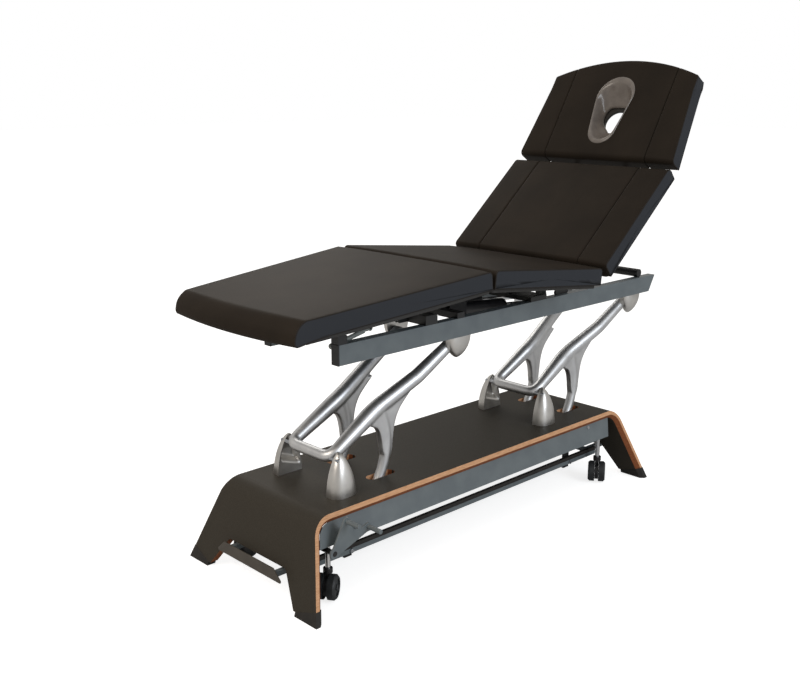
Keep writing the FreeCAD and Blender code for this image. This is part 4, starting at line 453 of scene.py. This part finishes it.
polished = metal("polished_cast_aluminium", "#cdced0", "#d8d9da", 0.42, wave=0.02)
for name, joint_name in (("lift_arm_front", "lift_front"), ("lift_arm_rear", "lift_rear")):
    stand_for(cast_arm(name, joints[joint_name]["pos_m"]), name, polished)


# Fins: cast aluminium shields, shot blasted to a soft silver; the lower ones are hollow inside their rims.
# The lower ones stand on the base and hold the lower pivots; the upper ones hang from the rails, tip down.
LOWER_FOOT = 0.2532
LOWER_TIP = 0.3945
LOWER_FIN = (-0.034, 0.058, 0.1145, 0.160)
UPPER_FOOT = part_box("upper_fins")[1][2]
UPPER_TIP = 0.5945
UPPER_FIN = (-0.034, 0.064, 0.1335, 0.165)
FIN_RIM = 0.0075
FIN_HOLLOW = 0.024
FIN_LEAST = 0.0005
FIN_EASED = 0.0012


def smooth_share(value):
    """0 under 0, 1 over 1, and an even S between: 3 v^2 - 2 v^3."""
    share = np.clip(value, 0, 1)
    return share ** 2 * (3 - 2 * share)


def fin(pivot_x, side, foot, tip, start, end, inner, outer, scoop):
    """One fin as a grid of rings from its foot to its tip, each a full outer curve and a hollow inner side.

    It reaches from start to end along X and from inner to outer across. At share h of the way to the tip the
    ring is drawn in to its middle by (1 - h^2.2)^0.75, and bulges out by 0.3 + 0.7 (1 - h^2.4) of its depth
    along sin(angle)^0.62. Inside the rim the inner side sinks by up to scoop."""
    angle = np.linspace(0, np.pi, 41)
    share = np.linspace(1, -1, 41)[1:-1]
    middle = (start + end) / 2
    near_tip = 1 - np.geomspace(0.03, 0.002, 8)
    rings = []
    for h in np.concatenate([[0, 0.006, 0.02], np.linspace(0.04, 0.96, 34), near_tip]):
        least = FIN_LEAST - FIN_EASED * (h == 0)
        half = (end - start) / 2 * (1 - h ** 2.2) ** 0.75 + least
        depth = (outer - inner) * (0.30 + 0.70 * (1 - h ** 2.4)) * (1 - h ** 14) ** 0.5 + least
        x_out = middle - half * np.sign(np.cos(angle)) * np.abs(np.cos(angle)) ** 0.8
        y_out = inner + depth * np.sin(angle) ** 0.62
        from_rim = np.minimum(half * (1 - np.abs(share)), abs(tip - foot) * (1 - h) * 0.8)
        inside = smooth_share((from_rim - FIN_RIM * 0.55) / FIN_RIM)
        above = smooth_share((h - 0.22 - 0.10 * (1 - share)) / 0.16)
        hollow = scoop * inside * above * min(1, depth / 0.036)
        x = np.concatenate([x_out, middle + half * share]) + pivot_x
        y = side * np.concatenate([y_out, inner + hollow])
        rings.append(np.column_stack([x, y, np.full(len(x), foot + (tip - foot) * h)]))
    return np.array(rings)


blasted = metal("blasted_aluminium", "#cfcdca", "#dad8d4", 0.36)
for end, joint_name in (("front", "lift_front"), ("rear", "lift_rear")):
    pivot_x = joints[joint_name]["pos_m"][0]
    for label, side in (("near", -1), ("far", 1)):
        lower = fin(pivot_x, side, LOWER_FOOT, LOWER_TIP, *LOWER_FIN, FIN_HOLLOW)
        upper = fin(pivot_x + ARM_RUN, side, UPPER_FOOT, UPPER_TIP, *UPPER_FIN, 0.0)
        for node, grid in (("lower_fins", lower), ("upper_fins", upper)):
            fin_name = "%s_%s_%s" % (node[:-1], end, label)
            fin_mesh = closed_grid(fin_name, grid)
            fin_mesh.set_sharp_from_angle(angle=math.radians(50))
            stand_for(linked(fin_name, fin_mesh), node, blasted)


# Pins, shafts and rods: turned steel, zinc plated where it is hidden and chromed where it slides or shows.
# Zinc looks grey and a little cloudy; chrome is a dark mirror.
zinc = metal("zinc_plated_steel", "#a9adb3", "#b9bcc0", 0.3)
chrome = metal("chrome_plated_steel", "#d6d8db", "#dfe1e3", 0.07, wave=0.01)
for name in ("panel_screws", "lower_shafts", "foot_bar_bolts", "crank_shaft_front", "crank_shaft_rear",
             "tie_rod", "upper_pins_and_hip_shaft", "leg_links"):
    stand_for(merged_copy(name, 0.4), name, zinc)
for name in ("castor_carriage_front", "castor_carriage_rear", "lift_rod", "seat_rod", "back_rod"):
    stand_for(merged_copy(name, 0.4), name, chrome)


# Moulded plastic and rubber: motor housings, caps, castors, treads and feet.
# Nylon, polyurethane and rubber keep the fine spark-eroded grain of their moulds and look dull, not shiny.
def moulded(name, low, high, roughness, grain=0.04):
    """Moulded surface: cloudy colour and a fine grain."""
    material, tree = new_material(name)
    colour = tones(tree, mottled(tree, 25), ((0.35, low), (0.65, high)))
    shader = surface(tree, Base_Color=colour, Roughness=roughness)
    roughen(tree, shader, mottled(tree, 0.9), grain, 0.7)
    return material


nylon = moulded("black_nylon", "#17171a", "#1f1f21", 0.45)
rubber = moulded("black_rubber", "#191613", "#221e1a", 0.7)
tyre = moulded("grey_polyurethane", "#1e2022", "#282a2c", 0.5)
for name in ("control_box", "lift_motor", "panel_motors", "rail_caps_and_rests", "upper_bushes_front",
             "upper_bushes_rear"):
    stand_for(merged_copy(name, 1.0), name, nylon)
for name in ("foot_pads", "foot_bar_tread"):
    stand_for(merged_copy(name, 0.8), name, rubber)
for end in ("front", "rear"):
    for side in ("near", "far"):
        fork, wheels = "castor_fork_%s_%s" % (end, side), "castor_wheels_%s_%s" % (end, side)
        stand_for(merged_copy(fork, 0.8), fork, nylon)
        stand_for(merged_copy(wheels, angle=40), wheels, tyre)


# Release lever of the leg panel: a bent steel bar, powder coated light grey, under the cushion's foot end.
# Its coat looks lighter than the frame's and has the same fine orange peel.
lever_coat = coat("light_grey_powder_coat", "#868c89", "#929794", 0.34)
stand_for(merged_copy("leg_release_lever", 0.4), "leg_release_lever", lever_coat)


# Boards: birch plywood stained black, rounded over, that carry the cushions.
# The stain leaves the long grain just visible.
board_stain, tree = new_material("black_stained_birch")
grain = mottled(tree, 2.0, detail=4, stretch=(0.08, 1, 1))
surface(tree, Base_Color=tones(tree, grain, ((0.3, "#191817"), (0.7, "#26231f"))), Roughness=0.6)
for name in ("seat_board", "back_board", "leg_board", "head_board"):
    stand_for(merged_copy(name, 1.0), name, board_stain)


# Seat and back cushions: firm foam in dark brown leatherette, drawn over the ends and sewn to side panels.
# Each is a side profile carried across the width, with a low crown and welts, and the back has sewn channels.
# The leatherette is dull with a pebble grain, and its side panels are painted a little greyer and bluer, a painted
# sheen for the light that they catch.
PAD_TOP = 0.079
PAD_LOW = 0.0205
PAD_HALF = 0.340
SIDE_ROUND = 0.0045
CROWN = 0.0035
CHANNEL_AT = 0.222
CHANNEL_DEEP = 0.004
CHANNEL_HALF = 0.0022
CHANNEL_STEPS = (-3, -2, -1, -0.5, 0, 0.5, 1, 2, 3)
WELT_ROUND = 0.0016
WELT_IN = 0.0012
SEAT_SLOPE = -6.3
BACK_SLOPE = 40.3
KNEE_REACH = 0.5684

leatherette, tree = new_material("grained_leatherette")
place = add(tree, "ShaderNodeTexCoord")
pebble = add(tree, "ShaderNodeTexVoronoi", {"Vector": place.outputs["Object"], "Scale": 1000 / 1.8},
             feature="SMOOTH_F1")
grain = add(tree, "ShaderNodeMath", {0: pebble.outputs["Distance"], 1: mottled(tree, 0.8, detail=3), 2: 0.2},
            operation="MULTIPLY_ADD")
cover_brown = tones(tree, mottled(tree, 180, detail=3), ((0.35, "#25201b"), (0.65, "#2b251f")))
# Painted sheen: faces turned to the sides get a lighter blue-grey in place of the brown.
panel = add(tree, "ShaderNodeMapRange", {"Value": facing_sideways(tree), "From Min": 0.90, "From Max": 0.97})
colour = add(tree, "ShaderNodeMix", {0: panel.outputs[0], 6: cover_brown, 7: linear("#34363a")},
             data_type="RGBA").outputs[2]
shader = surface(tree, Base_Color=colour, Roughness=0.52, Specular_IOR_Level=0.05)
roughen(tree, shader, grain.outputs[0], 0.12, 0.35)


def rounded_profile(low_end, high_end, rounds):
    """Closed side profile in (along, up): a rectangle whose four corners are circle arcs.

    rounds gives the radii of the corners start top, end top, end bottom and start bottom, so that each corner
    is centre + radius * (cos a, sin a) over a quarter turn."""
    corners = ((low_end, PAD_TOP, 180, rounds[0]), (high_end, PAD_TOP, 90, rounds[1]),
               (high_end, PAD_LOW, 0, rounds[2]), (low_end, PAD_LOW, -90, rounds[3]))
    points = []
    for along, up, start, radius in corners:
        turn = np.radians(start - np.linspace(0, 90, 16))
        in_x = radius if start in (180, -90) else -radius
        in_z = -radius if start in (180, 90) else radius
        centre = (along + in_x, up + in_z)
        points.append(centre + radius * np.column_stack([np.cos(turn), np.sin(turn)]))
    return np.concatenate(points)


def spread(ring, spacing):
    """The closed ring with points added so that no run is longer than spacing."""
    closed = np.vstack([ring, ring[:1]])
    pieces = []
    for first, last in zip(closed[:-1], closed[1:]):
        parts = max(1, int(np.ceil(np.linalg.norm(last - first) / spacing)))
        pieces.append(first + (last - first) * np.linspace(0, 1, parts, endpoint=False)[:, None])
    return np.concatenate(pieces)


def inward(ring, distance):
    """Each point moved to the inside of the closed ring along its own normal."""
    run = np.roll(ring, -1, 0) - np.roll(ring, 1, 0)
    run /= np.linalg.norm(run, axis=1)[:, None]
    return ring + np.column_stack([run[:, 1], -run[:, 0]]) * distance


def sunk(up):
    """How far the cover lies under its plan at a height: nothing at the bottom, growing evenly to the top."""
    return CROWN * 0.6 * np.clip((up - PAD_LOW) / (PAD_TOP - PAD_LOW), 0, 1)


def across_at(t, half):
    """Place across for share t: true to scale out to the channels, then drawn in to the half width."""
    flat = (CHANNEL_AT + 3 * CHANNEL_HALF) / PAD_HALF
    outer = flat * PAD_HALF + (abs(t) - flat) / (1 - flat) * (half - flat * PAD_HALF)
    return np.sign(t) * np.where(abs(t) <= flat, abs(t) * PAD_HALF, outer)


def cushion_mesh(name, ring, half_at, end_shift, channels):
    """Cushion surface: the ring carried from one side to the other.

    A ring point (along, up) at share t from -1 to 1 across comes to y = t * half_at(along), or to across_at
    where there are channels. The ring is drawn in by the side round near t = 1 and by a bell of depth
    CHANNEL_DEEP at each channel. Its top rises by CROWN * (1 - t^4), all of it sinks by sunk(up), and
    end_shift(along, y) bends the ends. Both sides close in rings that shrink to the profile's middle."""
    middle = ring.mean(0)
    turn = np.linspace(0, np.pi / 2, 6)
    edge = [(1 - SIDE_ROUND * (1 - np.sin(a)) / PAD_HALF, SIDE_ROUND * (1 - np.cos(a))) for a in turn]
    inner = list(np.linspace(0, 1 - SIDE_ROUND / PAD_HALF, 24)[:-1])
    if channels:
        inner += [(CHANNEL_AT + CHANNEL_HALF * k) / PAD_HALF for k in CHANNEL_STEPS]
    half_rows = sorted([(t, 0.0) for t in inner] + edge)
    rows = [(-t, drawn) for t, drawn in reversed(half_rows) if t > 0] + half_rows
    rings = []
    for t, drawn in rows:
        from_channel = (abs(t) * PAD_HALF - CHANNEL_AT) / CHANNEL_HALF
        groove = CHANNEL_DEEP * np.exp(-from_channel ** 2) if channels else 0.0
        rings.append((t, inward(ring, drawn + groove)))
    side_ring = inward(ring, SIDE_ROUND) - middle
    for shrink in (0.75, 0.4, 0.12):
        rings.append((1.0, middle + side_ring * shrink))
        rings.insert(0, (-1.0, middle + side_ring * shrink))
    sheets = []
    for t, shaped in rings:
        along, up = shaped[:, 0], shaped[:, 1]
        y = across_at(t, half_at(along)) if channels else t * half_at(along)
        lift = CROWN * (1 - t ** 4) * np.clip((up - PAD_LOW) / (PAD_TOP - PAD_LOW), 0, 1) ** 6
        sheets.append(np.column_stack([along + end_shift(along, y), y, up + lift - sunk(up)]))
    return closed_grid(name, np.array(sheets))


def ring_mesh(name, rings):
    """Mesh of rings joined in a loop, the last to the first, as on a ring-shaped piece."""
    rows_n, across = rings.shape[:2]
    index = np.arange(rows_n * across).reshape(rows_n, across)
    ahead, around = np.roll(index, -1, 0), np.roll(index, -1, 1)
    faces = np.stack([index, ahead, np.roll(ahead, -1, 1), around], -1).reshape(-1, 4)
    return skinned(name, rings.reshape(-1, 3), faces.tolist())


def welt_mesh(name, ring, half_at, end_shift, side):
    """Welt of a side seam: a round cord under the cover, swept along the profile inside the side panel."""
    y_at = side * (half_at(ring[:, 0]) - SIDE_ROUND * 0.45)
    line = inward(ring, WELT_IN)
    path = np.column_stack([line[:, 0] + end_shift(line[:, 0], y_at), y_at, line[:, 1] - sunk(line[:, 1])])
    run = np.roll(path, -1, 0) - np.roll(path, 1, 0)
    run /= np.linalg.norm(run, axis=1)[:, None]
    out = np.cross(run, (0.0, 1.0, 0.0))
    out /= np.linalg.norm(out, axis=1)[:, None]
    wide = np.cross(out, run)
    turn = np.linspace(0, 2 * np.pi, 8, endpoint=False)[None, :, None]
    circle = np.cos(turn) * out[:, None] + np.sin(turn) * wide[:, None]
    return ring_mesh(name, path[:, None] + WELT_ROUND * circle)


def panel_place(joint_name, slope):
    """Turn and move from a panel's own frame (along, across, up from its pivot) to the table's frame."""
    at = Vector(joints[joint_name]["pos_m"])
    return Matrix.Translation(at) @ Matrix.Rotation(math.radians(-slope), 4, "Y")


def sew_cushion(node, ring, place, half_at, end_shift, channels=False):
    """Build the cover and its two welts in the panel's frame, and put them in the place of their CAD node."""
    body = BODY_OF[node]
    cover_mesh = cushion_mesh(node + "_cover", ring, half_at, end_shift, channels)
    cover_mesh.transform(place)
    cover = linked(node + "_cover", cover_mesh)
    stand_for(cover, node, leatherette)
    for label, side in (("near", -1), ("far", 1)):
        mesh = welt_mesh("%s_welt_%s" % (node, label), ring, half_at, end_shift, side)
        mesh.transform(place)
        mesh.materials.append(leatherette)
        welt = linked("%s_welt_%s" % (node, label), mesh)
        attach(welt, body)
    return cover


def straight(along):
    """Half width of a cushion with parallel sides."""
    return np.full_like(along, PAD_HALF)


def unbent(along, y):
    """No shift: the ends are straight."""
    return np.zeros_like(along)


seat_ring = spread(rounded_profile(-KNEE_REACH - 0.0034, -0.037, (0.014, 0.014, 0.003, 0.003)), 0.03)
sew_cushion("seat_cushion", seat_ring, panel_place("seat_tilt", SEAT_SLOPE), straight, unbent)
back_ring = spread(rounded_profile(0.0455, 0.510, (0.014, 0.022, 0.003, 0.003)), 0.03)
sew_cushion("back_cushion", back_ring, panel_place("back_tilt", BACK_SLOPE), straight, unbent, channels=True)


# Leg cushion: the same foam and leatherette, tapered to the feet, its foot end full, round and bowed out.
# The cover there swells past the board and drops a little over it.
LEG_SLOPE = 4.74
LEG_REACH = 0.6866
LEG_NEAR_KNEE = -0.0057
LEG_FOOT_HALF = 0.2795
LEG_BOW = 0.022
LEG_BOW_RUN = 0.08
LEG_OUT = 0.016
LEG_SWELL = 0.020
LEG_DROP = 0.008


def leg_half(along):
    """Half width: a straight taper from the knee to the foot end."""
    return PAD_HALF + (LEG_FOOT_HALF - PAD_HALF) * np.clip((-along) / LEG_REACH, 0, 1)


def leg_bow(along, y):
    """The foot end bows out by LEG_BOW in the middle, a parabola across that grows over LEG_BOW_RUN."""
    share = np.clip((-along - (LEG_REACH - LEG_BOW_RUN)) / LEG_BOW_RUN, 0, 1)
    return -LEG_BOW * (1 - (y / LEG_FOOT_HALF) ** 2) * share + LEG_BOW * share


leg_ring = spread(rounded_profile(-LEG_REACH - LEG_OUT, LEG_NEAR_KNEE, (0.036, 0.014, 0.003, 0.014)), 0.008)
low_share = np.clip((PAD_TOP - leg_ring[:, 1]) / (PAD_TOP - PAD_LOW), 0, 1)
near_end = np.clip((-leg_ring[:, 0] - (LEG_REACH - 0.12)) / 0.11, 0, 1)
leg_ring = leg_ring - np.column_stack([LEG_SWELL * near_end * low_share,
                                       LEG_DROP * near_end ** 2 * low_share ** 4])
sew_cushion("leg_cushion", leg_ring, panel_place("leg_tilt", LEG_SLOPE), leg_half, leg_bow)


# Head cushion: the same foam and leatherette with two sewn channels, tapered to an arched top end.
# Its hinge lies nearer under its top than the other panels' pivots do, and it is cut through for the insert.
HEAD_SLOPE = 58.3
HEAD_START = 0.020
HEAD_MID = 0.413
HEAD_EDGE = 0.348
HEAD_SHOULDER = 0.312
HEAD_CORNER_RUN = 0.016
HEAD_CORNER_IN = 0.014
HEAD_TOP = 0.0645


def head_half(along):
    """Half width: a straight taper from the neck to the shoulders, then a round corner at the top end."""
    share = np.clip((along - HEAD_START) / HEAD_EDGE, 0, 1)
    corner = np.clip((along - HEAD_START - HEAD_MID + HEAD_CORNER_RUN) / HEAD_CORNER_RUN, 0, 1)
    return PAD_HALF - (PAD_HALF - HEAD_SHOULDER) * share - HEAD_CORNER_IN * (1 - np.sqrt(1 - corner ** 2))


def head_arch(along, y):
    """The top end is an arc: it drops from the middle to the shoulders as a parabola."""
    share = np.clip((along - HEAD_START) / HEAD_MID, 0, 1)
    return -(HEAD_MID - HEAD_EDGE) * (y / HEAD_SHOULDER) ** 2 * share


head_ring = spread(rounded_profile(HEAD_START, HEAD_START + HEAD_MID, (0.022, 0.014, 0.003, 0.003)), 0.03)
head_place = panel_place("head_tilt", HEAD_SLOPE) @ Matrix.Translation((0, 0, HEAD_TOP - PAD_TOP))
head_cover = sew_cushion("head_cushion", head_ring, head_place, head_half, head_arch, channels=True)


# Face insert: a glossy grey moulding, its rounded rim on the cover and its bowl leading down to the opening.
# The opening is a shield, nearly flat at the brow and drawn to a point at the chin.
OUTLINE_POINTS = 120
BROW_AT = HEAD_START + 0.238
BROW_SAG = 2.4
RIM_TOP = PAD_TOP - CROWN * 0.3
BOWL_FLOOR = 0.0215
RIM_AND_BOWL = ((0.0, -0.004), (-0.02, 0.0), (0.0, 0.0035), (0.06, 0.0055), (0.13, 0.0058),
                (0.20, 0.0045), (0.26, 0.0015), (0.31, -0.003), (0.40, -0.012), (0.52, -0.022),
                (0.66, -0.031), (0.80, -0.038), (0.92, -0.043), (0.975, -0.046), (1.0, -0.050))


def drop_outline(start, end, small, large):
    """Outline of two circles and their common tangents, from the top end round, at even steps of length."""
    near, far = start + small, end - large
    lean = np.arcsin((large - small) / (far - near))
    upper = np.linspace(0, np.pi / 2 + lean, 60)
    lower = np.linspace(np.pi / 2 + lean, np.pi, 60)
    half = np.vstack([np.column_stack([far + large * np.cos(upper), large * np.sin(upper)]),
                      np.column_stack([near + small * np.cos(lower), small * np.sin(lower)])])
    ring = np.vstack([half, (half * (1, -1))[::-1]])
    length = np.concatenate([[0], np.cumsum(np.linalg.norm(np.diff(ring, axis=0), axis=1))])
    at = np.linspace(0, length[-1], OUTLINE_POINTS, endpoint=False)
    return np.column_stack([np.interp(at, length, ring[:, 0]), np.interp(at, length, ring[:, 1])])


def at_height(outline, up):
    """The outline as a ring of points at one height."""
    return np.column_stack([outline, np.full(len(outline), up)])


FACE_RIM = drop_outline(HEAD_START + 0.059, HEAD_START + 0.337, 0.058, 0.080)
FACE_HOLE = drop_outline(HEAD_START + 0.130, HEAD_START + 0.250, 0.018, 0.053)
brow = BROW_AT - BROW_SAG * FACE_HOLE[:, 1] ** 2
shield = np.column_stack([np.minimum(FACE_HOLE[:, 0], brow), FACE_HOLE[:, 1]])
profile = [(0.02, BOWL_FLOOR), (0.0, BOWL_FLOOR + 0.002)]
profile += [(share, RIM_TOP + rise) for share, rise in RIM_AND_BOWL]
profile += [(1.0, BOWL_FLOOR + 0.001), (0.98, BOWL_FLOOR)]

plug = closed_grid("face_plug", np.array([at_height(FACE_RIM, up) for up in (-0.05, 0.15)]))
plug.transform(head_place)
drilled(head_cover, plug, "EXACT", 50)

grey_plastic = moulded("glossy_grey_abs", "#6b645f", "#746d67", 0.2, grain=0.0)
insert_rings = np.array([at_height(FACE_RIM * (1 - share) + shield * share, up) for share, up in profile])
insert_mesh = ring_mesh("face_insert_moulding", insert_rings)
insert_mesh.transform(head_place)
stand_for(linked("face_insert_moulding", insert_mesh), "face_insert", grey_plastic)
